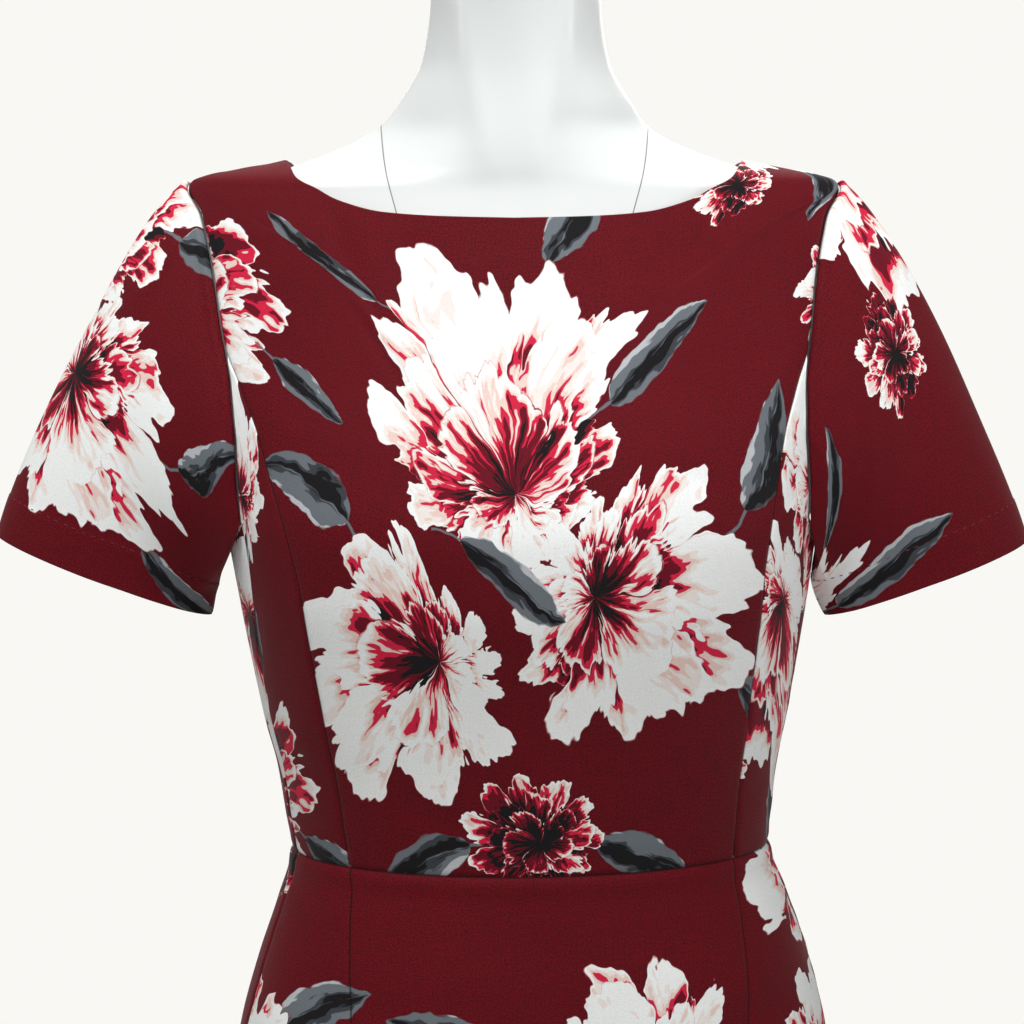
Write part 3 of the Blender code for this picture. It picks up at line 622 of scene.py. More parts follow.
@dataclass
class SheetMesh:
    """A panel of cloth as a closed thin shell over a grid, with its flat places and its edges."""

    name: str
    base: Array
    normals: Array
    flat: Array
    edges: Edges
    cut_from: Pair
    thickness: float = WALL
    seam_dip: float = 0.0010
    seam_width: float = 0.0018
    sway: float = 0.0007
    sway_fade: float = 0.022
    pucker: float = 0.00016
    pucker_spacing: float = 0.0038
    pucker_wander: float = 0.017
    pucker_from_seam: float = 0.0055
    pucker_width: float = 0.0045
    far: float = 1.0
    crisp: float = 50.0
    creases: tuple[Crease, ...] = ()
    extra_lift: Array | None = None
    dart_distance: Array | None = None

    def distances(self) -> list[Array]:
        """How far each grid place lies from the left, right, bottom and top edge, along the cloth."""
        left, bottom = grid_runs(self.base)
        return [left, left[:, -1:] - left, bottom, bottom[-1:] - bottom]

    def unevenness(self) -> Array:
        """The cloth's slow sway, gone at its sewn edges, and the faint puckers beside its seams.

        Returns:
            How far each grid place moves out.
        """
        x, y = np.moveaxis(self.flat + np.array(self.cut_from), -1, 0)
        slow = np.sin(x * 47.0 + 2.1 * np.sin(y * 23.0)) + np.sin(y * 41.0 + 1.7 * np.sin(x * 29.0 + 1.0))
        fade = np.ones_like(x)
        puckers = np.zeros_like(x)
        distances = self.distances()
        for side, (kind, distance) in enumerate(zip(self.edges, distances)):
            if kind is EdgeKind.SEWN:
                fade *= 1.0 - bell(distance, self.sway_fade)
                along = distances[2 if side < 2 else 0]
                wander = 1.8 * np.sin(along / self.pucker_wander + side)
                wave = np.sin(along / self.pucker_spacing + wander)
                puckers += self.pucker * wave * bell(distance - self.pucker_from_seam, self.pucker_width)
        return 0.5 * self.sway * slow * fade + puckers

    def faces_of_shell(self) -> tuple[Array, Array]:
        """The two faces of the shell, rolled in at sewn edges and rounded at open ones.

        Returns:
            The outer and the inner points.
        """
        thick = self.thickness
        outer = np.full(self.base.shape[:2], thick)
        inner = np.zeros_like(outer)
        for kind, distance in zip(self.edges, self.distances()):
            if kind is EdgeKind.SEWN:
                outer -= self.seam_dip * bell(distance, self.seam_width)
            else:
                x = np.clip(distance / (0.5 * thick), 0.0, 1.0)
                round_off = 0.5 * thick * (1.0 - np.sqrt(np.clip(1.0 - (1.0 - x) ** 2, 0.0, 1.0)))
                outer -= round_off
                inner += round_off
        move = self.unevenness()
        for crease in self.creases:
            move += crease.lift(self.flat)
        if self.extra_lift is not None:
            move += self.extra_lift
        outer_points = self.base + self.normals * (outer + move)[..., None]
        inner_points = self.base + self.normals * (inner + move)[..., None]
        return outer_points, inner_points

    def build(self) -> Thing:
        """Makes the mesh, its print attributes and its two material slots.

        Returns:
            The object, linked to the scene.
        """
        outer, inner = self.faces_of_shell()
        rows, columns = outer.shape[:2]
        count = rows * columns
        index = np.arange(count).reshape(rows, columns)
        quads = np.stack((index[:-1, :-1], index[:-1, 1:], index[1:, 1:], index[1:, :-1]), axis=-1)
        quads = quads.reshape(-1, 4)
        ring = np.concatenate((index[0, :-1], index[:-1, -1], index[-1, :0:-1], index[:0:-1, 0]))
        after = np.roll(ring, -1)
        rim = np.stack((ring, ring + count, after + count, after), axis=-1)
        faces = np.concatenate((quads, quads[:, ::-1] + count, rim))
        mesh = bpy.data.meshes.new(self.name)
        mesh.from_pydata(np.concatenate((outer.reshape(-1, 3), inner.reshape(-1, 3))), [], faces)
        mesh.update()
        places = np.tile(self.flat.reshape(-1, 2), (2, 1)) + np.array(self.cut_from)
        corners = places[faces]
        self.write_corners(mesh, "flat", np.concatenate((corners, 0.0 * corners[..., :1]), axis=-1))
        for layer in Layer:
            self.write_corners(mesh, layer.value, PRINT.layer_values(layer, corners))
        nearest = np.full((rows, columns), self.far)
        for kind, distance in zip(self.edges, self.distances()):
            if kind is EdgeKind.SEWN:
                nearest = np.minimum(nearest, distance)
        dart = np.full((rows, columns), self.far) if self.dart_distance is None else self.dart_distance
        for name, values in (("seam_distance", nearest), ("dart_distance", dart)):
            layer = mesh.attributes.new(name, "FLOAT", "POINT")
            layer.data.foreach_set("value", np.tile(values.ravel(), 2).astype(np.float32))
        side = np.zeros(len(faces), np.int32)
        side[len(quads) : 2 * len(quads)] = 1
        for material in (MATERIALS.printed, MATERIALS.reverse):
            mesh.materials.append(material)
        mesh.polygons.foreach_set("material_index", side)
        mesh.shade_smooth()
        mesh.set_sharp_from_angle(angle=math.radians(self.crisp))
        return link_object(self.name, mesh)

    def line_above_hem(self, distance: float) -> tuple[Array, Array]:
        """A line on the outer face, a distance above the bottom edge.

        Args:
            distance: How far above, along the cloth.

        Returns:
            The line's points and the directions straight out of the cloth there.
        """
        outer, _ = self.faces_of_shell()
        climb = self.distances()[2]
        both = np.concatenate((outer, self.normals), axis=-1)
        columns = range(both.shape[1])
        line = np.array([columns_at(distance, climb[:, c], both[:, c]) for c in columns])
        return line[:, :3], line[:, 3:]

    @staticmethod
    def write_corners(mesh: bpy.types.Mesh, name: str, values: Array) -> None:
        """Writes a vector to each face corner.

        Args:
            mesh: The mesh.
            name: The attribute's name.
            values: Faces, corners, three.
        """
        layer = mesh.attributes.new(name, "FLOAT_VECTOR", "CORNER")
        layer.data.foreach_set("vector", values.astype(np.float32).ravel())


def flat_places(base: Array, grain_column: int, from_top: bool = False) -> Array:
    """The flat cloth's places for a grid of points, measured from a grain line.

    Args:
        base: Points as rows up and columns across.
        grain_column: The column that the grain line runs up.
        from_top: Measures down from the top row, so that heights are negative.

    Returns:
        Places across and up, in metres.
    """
    run, climb = grid_runs(base)
    run -= run[:, grain_column : grain_column + 1]
    climb = 0.5 * climb + 0.5 * climb[:, grain_column : grain_column + 1]
    if from_top:
        climb -= climb[-1:]
    return np.stack((run, climb), axis=-1)


# ---- Materials ----

Socket = bpy.types.NodeSocket
Value = Socket | float | int | None
Three = Socket | tuple[float, float, float] | None


def srgb(red: int, green: int, blue: int) -> tuple[float, float, float, float]:
    """A colour given in screen numbers, as the shader reads it."""
    shares = np.array((red, green, blue)) / 255.0
    linear = np.where(shares <= 0.04045, shares / 12.92, ((shares + 0.055) / 1.055) ** 2.4)
    return (*(float(value) for value in linear), 1.0)


class Graph:
    """Adds nodes to a node tree and joins them."""

    def __init__(self, tree: Tree) -> None:
        """Keeps the tree that the nodes go to."""
        self.tree = tree
        self.place = 0

    def node(self, kind: str, **settings: object) -> bpy.types.Node:
        """A new node with its settings."""
        made = self.tree.nodes.new(kind)
        made.location = (self.place % 12 * 190, -(self.place // 12) * 220)
        self.place += 1
        for name, value in settings.items():
            setattr(made, name, value)
        return made

    def feed(self, target: Socket, value: object) -> None:
        """Gives a socket its value, or joins it to another socket."""
        if isinstance(value, bpy.types.NodeSocket):
            self.tree.links.new(value, target)
        elif value is not None:
            target.default_value = value

    def math(self, operation: str, first: Value, second: Value = None, third: Value = None) -> Socket:
        """The result of a math node."""
        made = self.node("ShaderNodeMath", operation=operation)
        for target, value in zip(made.inputs, (first, second, third)):
            self.feed(target, value)
        return made.outputs[0]

    def plus(self, first: Value, second: Value) -> Socket:
        """The sum of two numbers."""
        return self.math("ADD", first, second)

    def minus(self, first: Value, second: Value) -> Socket:
        """The first number less the second."""
        return self.math("SUBTRACT", first, second)

    def times(self, first: Value, second: Value) -> Socket:
        """The product of two numbers."""
        return self.math("MULTIPLY", first, second)

    def times_plus(self, first: Value, second: Value, third: Value) -> Socket:
        """The product of the first two numbers, with the third added."""
        return self.math("MULTIPLY_ADD", first, second, third)

    def bump(self, shader: bpy.types.Node, height: Socket, distance: float, strength: float = 1.0) -> None:
        """Gives a shader fine relief.

        Args:
            shader: The shader whose normal it bends.
            height: The relief's height.
            distance: The real height of a height of one.
            strength: How much of it shows.
        """
        made = self.node("ShaderNodeBump")
        made.inputs["Distance"].default_value = distance
        made.inputs["Strength"].default_value = strength
        self.feed(made.inputs["Height"], height)
        self.feed(shader.inputs["Normal"], made.outputs[0])

    def clamp(self, value: Value) -> Socket:
        """The value held from 0 to 1."""
        made = self.node("ShaderNodeMath", operation="ADD", use_clamp=True)
        self.feed(made.inputs[0], value)
        made.inputs[1].default_value = 0.0
        return made.outputs[0]

    def step(self, value: Value, low: float, high: float, out: Pair = (0.0, 1.0)) -> Socket:
        """A soft step between two values."""
        made = self.node("ShaderNodeMapRange", interpolation_type="SMOOTHSTEP")
        for target, item in zip(made.inputs, (value, low, high, *out)):
            self.feed(target, item)
        return made.outputs[0]

    def vector(self, operation: str, first: Three, second: Three = None, scale: Value = None) -> Socket:
        """The result of a vector math node."""
        made = self.node("ShaderNodeVectorMath", operation=operation)
        self.feed(made.inputs[0], first)
        self.feed(made.inputs[1], second)
        if scale is not None:
            self.feed(made.inputs["Scale"], scale)
        return made.outputs["Value" if operation in ("LENGTH", "DISTANCE") else "Vector"]

    def split(self, vector: Socket) -> tuple[Socket, Socket, Socket]:
        """The three numbers of a vector."""
        made = self.node("ShaderNodeSeparateXYZ")
        self.feed(made.inputs[0], vector)
        return made.outputs[0], made.outputs[1], made.outputs[2]

    def combine(self, x: Value, y: Value, z: Value = 0.0) -> Socket:
        """A vector of three numbers."""
        made = self.node("ShaderNodeCombineXYZ")
        for target, value in zip(made.inputs, (x, y, z)):
            self.feed(target, value)
        return made.outputs[0]

    def noise(self, vector: Socket, scale: float, detail: float = 2.0, rough: float = 0.5) -> Socket:
        """Soft noise from 0 to 1."""
        return self.noise_node(vector, scale, detail, rough).outputs[0]

    def noise_vector(self, vector: Socket, scale: float, detail: float = 1.0) -> Socket:
        """Three soft noises round 0."""
        made = self.noise_node(vector, scale, detail, 0.5)
        return self.vector("SUBTRACT", made.outputs[1], (0.5, 0.5, 0.5))

    def noise_node(self, vector: Socket, scale: float, detail: float, rough: float) -> bpy.types.Node:
        """A noise texture's node."""
        made = self.node("ShaderNodeTexNoise", noise_dimensions="3D")
        self.feed(made.inputs["Vector"], vector)
        made.inputs["Scale"].default_value = scale
        made.inputs["Detail"].default_value = detail
        made.inputs["Roughness"].default_value = rough
        return made

    def chance(self, vector: Socket) -> Socket:
        """A number from 0 to 1 that is different for each vector."""
        made = self.node("ShaderNodeTexWhiteNoise", noise_dimensions="3D")
        self.feed(made.inputs["Vector"], vector)
        return made.outputs[0]

    def mix(self, share: Value, first: object, second: object, blend: str = "MIX") -> Socket:
        """A mix of two colours."""
        made = self.node("ShaderNodeMix", data_type="RGBA", blend_type=blend)
        self.feed(made.inputs[0], share)
        self.feed(made.inputs[6], first)
        self.feed(made.inputs[7], second)
        return made.outputs[2]

    def blend(self, share: Value, first: Value, second: Value) -> Socket:
        """A mix of two numbers."""
        made = self.node("ShaderNodeMix", data_type="FLOAT")
        self.feed(made.inputs[0], share)
        self.feed(made.inputs[2], first)
        self.feed(made.inputs[3], second)
        return made.outputs[0]

    def ramp(self, value: Socket, stops: Sequence[tuple[float, tuple[float, ...]]]) -> Socket:
        """A colour ramp.

        Args:
            value: The place on the ramp.
            stops: Places with their colours, in rising order.

        Returns:
            The colour.
        """
        made = self.node("ShaderNodeValToRGB")
        elements = made.color_ramp.elements
        while len(elements) < len(stops):
            elements.new(1.0)
        for element, (place, colour) in zip(elements, stops):
            element.position = place
            element.color = colour
        self.feed(made.inputs[0], value)
        return made.outputs[0]

    def attribute(self, name: str) -> bpy.types.Node:
        """A mesh attribute's node."""
        return self.node("ShaderNodeAttribute", attribute_name=name)

    def group(self, tree: Tree, **inputs: object) -> bpy.types.Node:
        """A group node with its inputs."""
        made = self.node("ShaderNodeGroup", node_tree=tree)
        for name, value in inputs.items():
            self.feed(made.inputs[name.replace("_", " ").capitalize()], value)
        return made


class Effect:
    """A shader node group with named inputs and outputs."""

    def __init__(self, name: str, inputs: dict[str, tuple[str, object]], outputs: dict[str, str]) -> None:
        """Makes the group and its sockets.

        Args:
            name: The group's name.
            inputs: For each input its socket kind and default.
            outputs: For each output its socket kind.
        """
        self.tree = bpy.data.node_groups.new(name, "ShaderNodeTree")
        for label, (kind, default) in inputs.items():
            made = self.tree.interface.new_socket(label, in_out="INPUT", socket_type=kind)
            if default is not None:
                made.default_value = default
        for label, kind in outputs.items():
            self.tree.interface.new_socket(label, in_out="OUTPUT", socket_type=kind)
        self.graph = Graph(self.tree)
        self.given = self.graph.node("NodeGroupInput").outputs
        self.result = self.graph.node("NodeGroupOutput").inputs


VECTOR, NUMBER, COLOUR = "NodeSocketVector", "NodeSocketFloat", "NodeSocketColor"
BRUSH_INPUTS = {"Place": (VECTOR, None), "Slow warp": (VECTOR, None), "Quick warp": (VECTOR, None)}
BRUSH_OUTPUTS = {"Colour": COLOUR, "Mask": NUMBER}


@dataclass(frozen=True)
class PrintColours:
    """The inks of the print and the dyed ground."""

    ground: Rgba = srgb(98, 7, 21)
    ground_deep: Rgba = srgb(89, 5, 17)
    white: Rgba = srgb(248, 251, 252)
    milk: Rgba = srgb(244, 236, 233)
    blush: Rgba = srgb(238, 212, 205)
    crimson: Rgba = srgb(212, 34, 70)
    wine: Rgba = srgb(104, 10, 30)
    black: Rgba = srgb(12, 10, 14)
    slate: Rgba = srgb(58, 62, 68)
    grey: Rgba = srgb(108, 115, 122)
    pale_grey: Rgba = srgb(190, 194, 199)


@dataclass
class BloomBrush:
    """The group that paints one bloom: rings of broad petals with strokes out of a dark heart."""

    inks: PrintColours
    rings: tuple[tuple[int, float, float, float], ...] = (
        (11, 1.00, 0.56, 0.17),
        (8, 0.78, 0.34, 0.08),
        (5, 0.50, 0.06, -0.05),
    )
    heart: float = 0.46
    edge_sharpness: float = 85.0

    def petal_ring(self) -> Tree:
        """The group for one ring of petals.

        Returns:
            A group that gives a ring's mask, the way up the petal, the way across it and its chance.
        """
        effect = Effect(
            "petal_ring",
            {
                "Turn": (NUMBER, 0.0),
                "Radius": (NUMBER, 0.0),
                "Ragged": (NUMBER, 0.0),
                "Petals": (NUMBER, 8.0),
                "Reach": (NUMBER, 1.0),
                "Root": (NUMBER, 0.5),
                "Seed": (NUMBER, 0.0),
            },
            {"Mask": NUMBER, "Way up": NUMBER, "Across": NUMBER, "Chance": NUMBER},
        )
        g, given, result = effect.graph, effect.given, effect.result
        phase = g.chance(g.combine(given["Seed"], given["Petals"], 3.0))
        sweep = g.times(g.minus(phase, 0.5), 1.6)
        lean = g.times(given["Radius"], sweep)
        place = g.times_plus(given["Turn"], given["Petals"], g.plus(phase, lean))
        place = g.plus(place, g.times(given["Ragged"], 0.9))
        whole = g.math("FLOOR", place)
        side = g.minus(g.minus(place, whole), 0.5)
        number = g.math("ROUND", g.math("FLOORED_MODULO", whole, given["Petals"]))
        chance = g.chance(g.combine(number, given["Seed"], given["Petals"]))
        skew = g.times_plus(g.minus(chance, 0.5), 0.22, side)
        spread = g.math("POWER", g.math("ABSOLUTE", g.times(skew, 2.0)), 1.7)
        profile = g.minus(1.0, g.times(spread, 0.32))
        length = g.times_plus(chance, 0.30, 0.82)
        top = g.times(g.times(given["Reach"], length), profile)
        top = g.plus(top, g.times(given["Ragged"], 0.11))
        mask = g.times_plus(g.minus(top, given["Radius"]), self.edge_sharpness, 0.5)
        way = g.minus(given["Radius"], given["Root"])
        way = g.math("DIVIDE", way, g.math("MAXIMUM", g.minus(top, given["Root"]), 0.05))
        g.feed(result["Mask"], g.clamp(mask))
        g.feed(result["Way up"], way)
        g.feed(result["Across"], side)
        g.feed(result["Chance"], chance)
        return effect.tree

    def build(self) -> Tree:
        """The whole bloom's group.

        Returns:
            A group that gives the bloom's colour and mask from its own coordinates and the print's warp.
        """
        ring_tree = self.petal_ring()
        effect = Effect("painted_bloom", BRUSH_INPUTS, BRUSH_OUTPUTS)
        g, given, result = effect.graph, effect.given, effect.result
        x, y, code = g.split(given["Place"])
        code = g.math("ROUND", code)
        dark = g.step(code, 60.0, 90.0)
        seed = g.times(g.math("ROUND", g.math("FLOORED_MODULO", code, 100.0)), 4.0)
        flat = g.combine(x, y, 0.0)
        slow = g.vector("MULTIPLY", given["Slow warp"], (0.26, 0.26, 0.0))
        quick = g.vector("MULTIPLY", given["Quick warp"], (0.055, 0.055, 0.0))
        _, _, region = g.split(given["Slow warp"])
        px, py, _ = g.split(g.vector("ADD", g.vector("ADD", flat, slow), quick))
        offset = g.blend(dark, self.heart, 0.12)
        qy = g.plus(py, offset)
        radius = g.math("SQRT", g.plus(g.times(px, px), g.times(qy, qy)))
        angle = g.math("ARCTAN2", px, qy)
        turn = g.times_plus(angle, 0.5 / math.pi, 0.5)
        safe = g.math("MAXIMUM", radius, 0.001)
        sine, cosine = g.math("DIVIDE", px, safe), g.math("DIVIDE", qy, safe)
        inner = g.math("POWER", g.times(offset, g.math("ABSOLUTE", sine)), 2.0)
        envelope = g.times_plus(offset, cosine, g.math("SQRT", g.minus(1.0, inner)))
        level = g.math("DIVIDE", radius, envelope)
        around = g.combine(sine, cosine, g.times_plus(level, 0.45, seed))
        ragged = g.minus(g.noise(around, 6.0, 2.0, 0.6), 0.5)
        mask, way, across, chance, depth = (0.0,) * 5
        for number, (petals, reach, root, lightness) in enumerate(self.rings):
            ring = g.group(
                ring_tree,
                turn=turn,
                radius=level,
                ragged=ragged,
                petals=float(petals),
                reach=reach,
                root=root,
                seed=g.plus(seed, 11.0 * number),
            ).outputs
            mask = ring["Mask"] if number == 0 else g.math("MAXIMUM", mask, ring["Mask"])
            way = g.blend(ring["Mask"], way, ring["Way up"])
            across = g.blend(ring["Mask"], across, ring["Across"])
            chance = g.blend(ring["Mask"], chance, ring["Chance"])
            depth = g.blend(ring["Mask"], depth, lightness)
        fan = g.vector("ADD", around, g.combine(g.times(chance, 17.0), 0.0, 0.0))
        broad = g.minus(g.noise(fan, 4.6, 1.0), 0.5)
        fine = g.minus(g.noise(fan, 15.0, 1.0), 0.5)
        tone = g.times_plus(way, 0.50, 0.10)
        tone = g.plus(tone, depth)
        tone = g.times_plus(broad, 1.20, tone)
        tone = g.times_plus(fine, 0.85, tone)
        tone = g.times_plus(region, 1.45, tone)
        tone = g.times_plus(g.minus(chance, 0.5), 0.50, tone)
        tone = g.minus(tone, g.times(dark, 0.34))
        rim = g.step(g.math("ABSOLUTE", across), 0.38, 0.46)
        rim = g.times(rim, g.blend(g.step(across, -0.02, 0.02), -0.34, 0.34))
        tip = g.step(way, 0.84, 0.97)
        tone = g.plus(tone, g.plus(rim, g.times(tip, 0.26)))
        tone = g.minus(tone, g.step(level, 0.02, 0.20, (0.16, 0.0)))
        inks = self.inks
        colour = g.ramp(
            g.clamp(g.times_plus(tone, 0.80, 0.20)),
            (
                (0.00, inks.black),
                (0.105, inks.black),
                (0.120, inks.wine),
                (0.325, inks.wine),
                (0.340, inks.crimson),
                (0.460, inks.crimson),
                (0.475, inks.blush),
                (0.555, inks.blush),
                (0.575, inks.milk),
                (0.665, inks.milk),
                (0.690, inks.white),
            ),
        )
        g.feed(result["Colour"], colour)
        g.feed(result["Mask"], mask)
        return effect.tree


@dataclass
class LeafBrush:
    """The group that paints one leaf with its stalk, in grey and black strokes."""

    inks: PrintColours
    half_width: float = 0.42
    stalk: float = 0.020
    blade_start: float = -0.55

    def build(self) -> Tree:
        """The leaf's group.

        Returns:
            A group that gives the leaf's colour and mask from its own coordinates and the print's warp.
        """
        effect = Effect("painted_leaf", BRUSH_INPUTS, BRUSH_OUTPUTS)
        g, given, result = effect.graph, effect.given, effect.result
        x, y, code = g.split(given["Place"])
        seed = g.times(g.math("ROUND", g.math("FLOORED_MODULO", g.math("ROUND", code), 100.0)), 5.0)
        slow = g.vector("MULTIPLY", given["Slow warp"], (0.22, 0.28, 0.0))
        quick = g.vector("MULTIPLY", given["Quick warp"], (0.09, 0.12, 0.0))
        wx, wy, _ = g.split(g.vector("ADD", g.combine(x, y, 0.0), g.vector("ADD", slow, quick)))
        swing = g.minus(g.chance(g.combine(seed, 1.0, 2.0)), 0.5)
        arch = g.minus(g.times(wx, wx), 0.4)
        wy = g.times_plus(arch, g.times(swing, 0.56), wy)
        share = g.clamp(g.math("DIVIDE", g.minus(wx, self.blade_start), 0.94 - self.blade_start))
        swell = g.math("POWER", share, 0.62)
        swell = g.times(swell, g.math("POWER", g.minus(1.0, share), 0.85))
        strokes = g.combine(g.times(wx, 0.30), wy, seed)
        streak = g.minus(g.noise(strokes, 6.5, 2.0, 0.6), 0.5)
        half = g.times(swell, g.times_plus(streak, 0.55, 1.75 * self.half_width))
        height = g.math("ABSOLUTE", wy)
        blade = g.clamp(g.times(g.minus(half, height), 60.0))
        stalk = g.clamp(g.times_plus(g.minus(self.stalk, height), 90.0, 0.3))
        reach = g.math("LESS_THAN", g.math("ABSOLUTE", wx), 0.93)
        stalk = g.times(stalk, g.times(reach, g.math("LESS_THAN", wx, 0.1)))
        edge = g.math("DIVIDE", height, g.math("MAXIMUM", half, 0.02))
        tone = g.times_plus(streak, 1.5, g.times(edge, 0.66))
        tone = g.plus(tone, g.step(wy, -0.03, 0.03, (-0.08, 0.20)))
        tone = g.times_plus(g.step(height, 0.004, 0.016, (0.5, 0.0)), 0.5, tone)
        inks = self.inks
        colour = g.ramp(
            g.clamp(tone),
            (
                (0.00, inks.black),
                (0.24, inks.black),
                (0.28, inks.slate),
                (0.40, inks.slate),
                (0.44, inks.grey),
                (0.76, inks.grey),
                (0.81, inks.pale_grey),
            ),
        )
        colour = g.mix(g.step(blade, 0.3, 0.7), inks.grey, colour)
        g.feed(result["Colour"], colour)
        g.feed(result["Mask"], g.math("MAXIMUM", blade, stalk))
        return effect.tree


def crepe_grain() -> Tree:
    """The group for the cloth's grain.

    Returns:
        A group that gives the height of the crossing, crinkled threads and a matching tint.
    """
    effect = Effect(
        "crepe_grain",
        {"Place": (VECTOR, None), "Threads per metre": (NUMBER, 1700.0)},
        {"Height": NUMBER, "Tint": NUMBER, "Slub": NUMBER},
    )
    g, given, result = effect.graph, effect.given, effect.result
    place, threads = given["Place"], given["Threads per metre"]
    moved = g.vector("SCALE", place, scale=threads)
    x, y, _ = g.split(moved)
    pebble = g.noise(place, 1000.0, 1.0, 0.6)
    long_x = g.noise(g.vector("MULTIPLY", place, (1.0, 0.06, 1.0)), 950.0, 1.0)
    long_y = g.noise(g.vector("MULTIPLY", place, (0.06, 1.0, 1.0)), 950.0, 1.0)
    bent_x = g.times_plus(long_x, 2.5, g.times(x, math.pi))
    bent_y = g.times_plus(long_y, 2.5, g.times(y, math.pi))
    crossing = g.times(g.math("SINE", bent_x), g.math("SINE", bent_y))
    slub = g.minus(g.times(g.plus(long_x, long_y), 0.5), 0.5)
    height = g.times_plus(crossing, 0.22, g.times(pebble, 0.9))
    height = g.times_plus(slub, 0.9, height)
    g.feed(result["Height"], height)
    tint = g.times_plus(g.minus(pebble, 0.5), 1.6, g.times(crossing, 0.10))
    g.feed(result["Tint"], g.times_plus(slub, 0.7, tint))
    g.feed(result["Slub"], slub)
    return effect.tree


def hairline_wear() -> Tree:
    """The group for fine turning marks and handling on metal.

    Returns:
        A group that gives a height and a roughness change from a place and a stretch.
    """
    effect = Effect(
        "hairline_wear",
        {"Place": (VECTOR, None), "Stretch": (VECTOR, (1.0, 1.0, 1.0)), "Scale": (NUMBER, 400.0)},
        {"Height": NUMBER, "Marks": NUMBER, "Smudge": NUMBER},
    )
    g, given, result = effect.graph, effect.given, effect.result
    stretched = g.vector("MULTIPLY", given["Place"], given["Stretch"])
    stretched = g.vector("SCALE", stretched, scale=given["Scale"])
    marks = g.noise(stretched, 1.0, 3.0, 0.65)
    smudge = g.noise(given["Place"], 14.0, 3.0)
    g.feed(result["Height"], marks)
    g.feed(result["Marks"], marks)
    g.feed(result["Smudge"], smudge)
    return effect.tree


def new_material(name: str) -> tuple[Material, Graph, bpy.types.Node]:
    """A material with its graph and its Principled shader.

    Args:
        name: The material's name.

    Returns:
        The material, a graph on its tree and the shader node.
    """
    material = bpy.data.materials.new(name)
    material.use_nodes = True
    shader = material.node_tree.nodes["Principled BSDF"]
    return material, Graph(material.node_tree), shader


@dataclass(frozen=True)
class PrintedCrepe:
    """The printed face of the cloth, with painted shade darkening its seams and darts."""

    inks: PrintColours
    roughness: float = 0.74
    sheen: float = 0.025
    gloss: float = 0.14
    grain_depth: float = 0.00016
    grain_strength: float = 0.8
    sheen_roughness: float = 0.45
    ground_tint: float = 1.40
    ink_tint: float = 0.16
    # Painted shade: near seams and darts the colour is darkened to this share over this span of distance.
    shaded_seam_span: Pair = (0.0001, 0.0011)
    seam_painted_shade: float = 0.28

    def build(self, bloom: Tree, leaf: Tree, grain: Tree) -> Material:
        """The material.

        Args:
            bloom: The group that paints a bloom.
            leaf: The group that paints a leaf.
            grain: The group for the cloth's grain.

        Returns:
            The printed crepe.
        """
        material, g, shader = new_material("printed_crepe")
        place = g.attribute("flat").outputs["Vector"]
        threads = g.group(grain, place=place).outputs
        slow_warp = g.noise_vector(place, 17.0, 1.0)
        quick_warp = g.noise_vector(place, 85.0, 1.0)
        cloudy = g.plus(g.split(slow_warp)[1], 0.5)
        colour = g.mix(cloudy, self.inks.ground_deep, self.inks.ground)
        brushes = {
            Layer.LEAF_UNDER: leaf,
            Layer.BLOOM_UNDER: bloom,
            Layer.BLOOM_OVER: bloom,
            Layer.LEAF_OVER: leaf,
        }
        inked: Value = 0.0
        for layer, brush in brushes.items():
            own = g.attribute(layer.value).outputs["Vector"]
            painted = g.group(brush, place=own, slow_warp=slow_warp, quick_warp=quick_warp).outputs
            colour = g.mix(painted["Mask"], colour, painted["Colour"])
            inked = painted["Mask"] if isinstance(inked, float) else g.math("MAXIMUM", inked, painted["Mask"])
        thread_tint = g.times_plus(threads["Tint"], g.blend(inked, self.ground_tint, self.ink_tint), 1.0)
        colour = g.mix(1.0, colour, g.combine(thread_tint, thread_tint, thread_tint), "MULTIPLY")
        # Painted shade: the colour is darkened along the seams and the dart, where shade falls in their
        # grooves.
        beside_dart = g.math("ABSOLUTE", g.attribute("dart_distance").outputs["Fac"])
        nearest = g.math("MINIMUM", g.attribute("seam_distance").outputs["Fac"], beside_dart)
        near = g.step(nearest, *self.shaded_seam_span, (self.seam_painted_shade, 1.0))
        colour = g.mix(1.0, colour, g.combine(near, near, near), "MULTIPLY")
        g.feed(shader.inputs["Base Color"], colour)
        rough = g.times_plus(threads["Slub"], 0.25, self.roughness)
        g.feed(shader.inputs["Roughness"], g.times_plus(inked, -0.03, rough))
        shader.inputs["Sheen Weight"].default_value = self.sheen
        shader.inputs["Sheen Roughness"].default_value = self.sheen_roughness
        shader.inputs["Specular IOR Level"].default_value = self.gloss
        g.bump(shader, threads["Height"], self.grain_depth, self.grain_strength)
        return material


@dataclass(frozen=True)
class PlainCrepe:
    """The cloth's unprinted back."""

    ground: Rgba = srgb(112, 44, 54)
    pale: Rgba = srgb(128, 62, 70)
    roughness: float = 0.82
    grain_depth: float = 0.00020

    def build(self, grain: Tree) -> Material:
        """The material.

        Args:
            grain: The group for the cloth's grain.

        Returns:
            The crepe's back.
        """
        material, g, shader = new_material("crepe_reverse")
        place = g.attribute("flat").outputs["Vector"]
        threads = g.group(grain, place=place).outputs
        g.feed(shader.inputs["Base Color"], g.mix(g.step(threads["Tint"], -0.3, 0.3), self.ground, self.pale))
        g.feed(shader.inputs["Roughness"], g.times_plus(threads["Slub"], 0.2, self.roughness))
        g.bump(shader, threads["Height"], self.grain_depth)
        return material


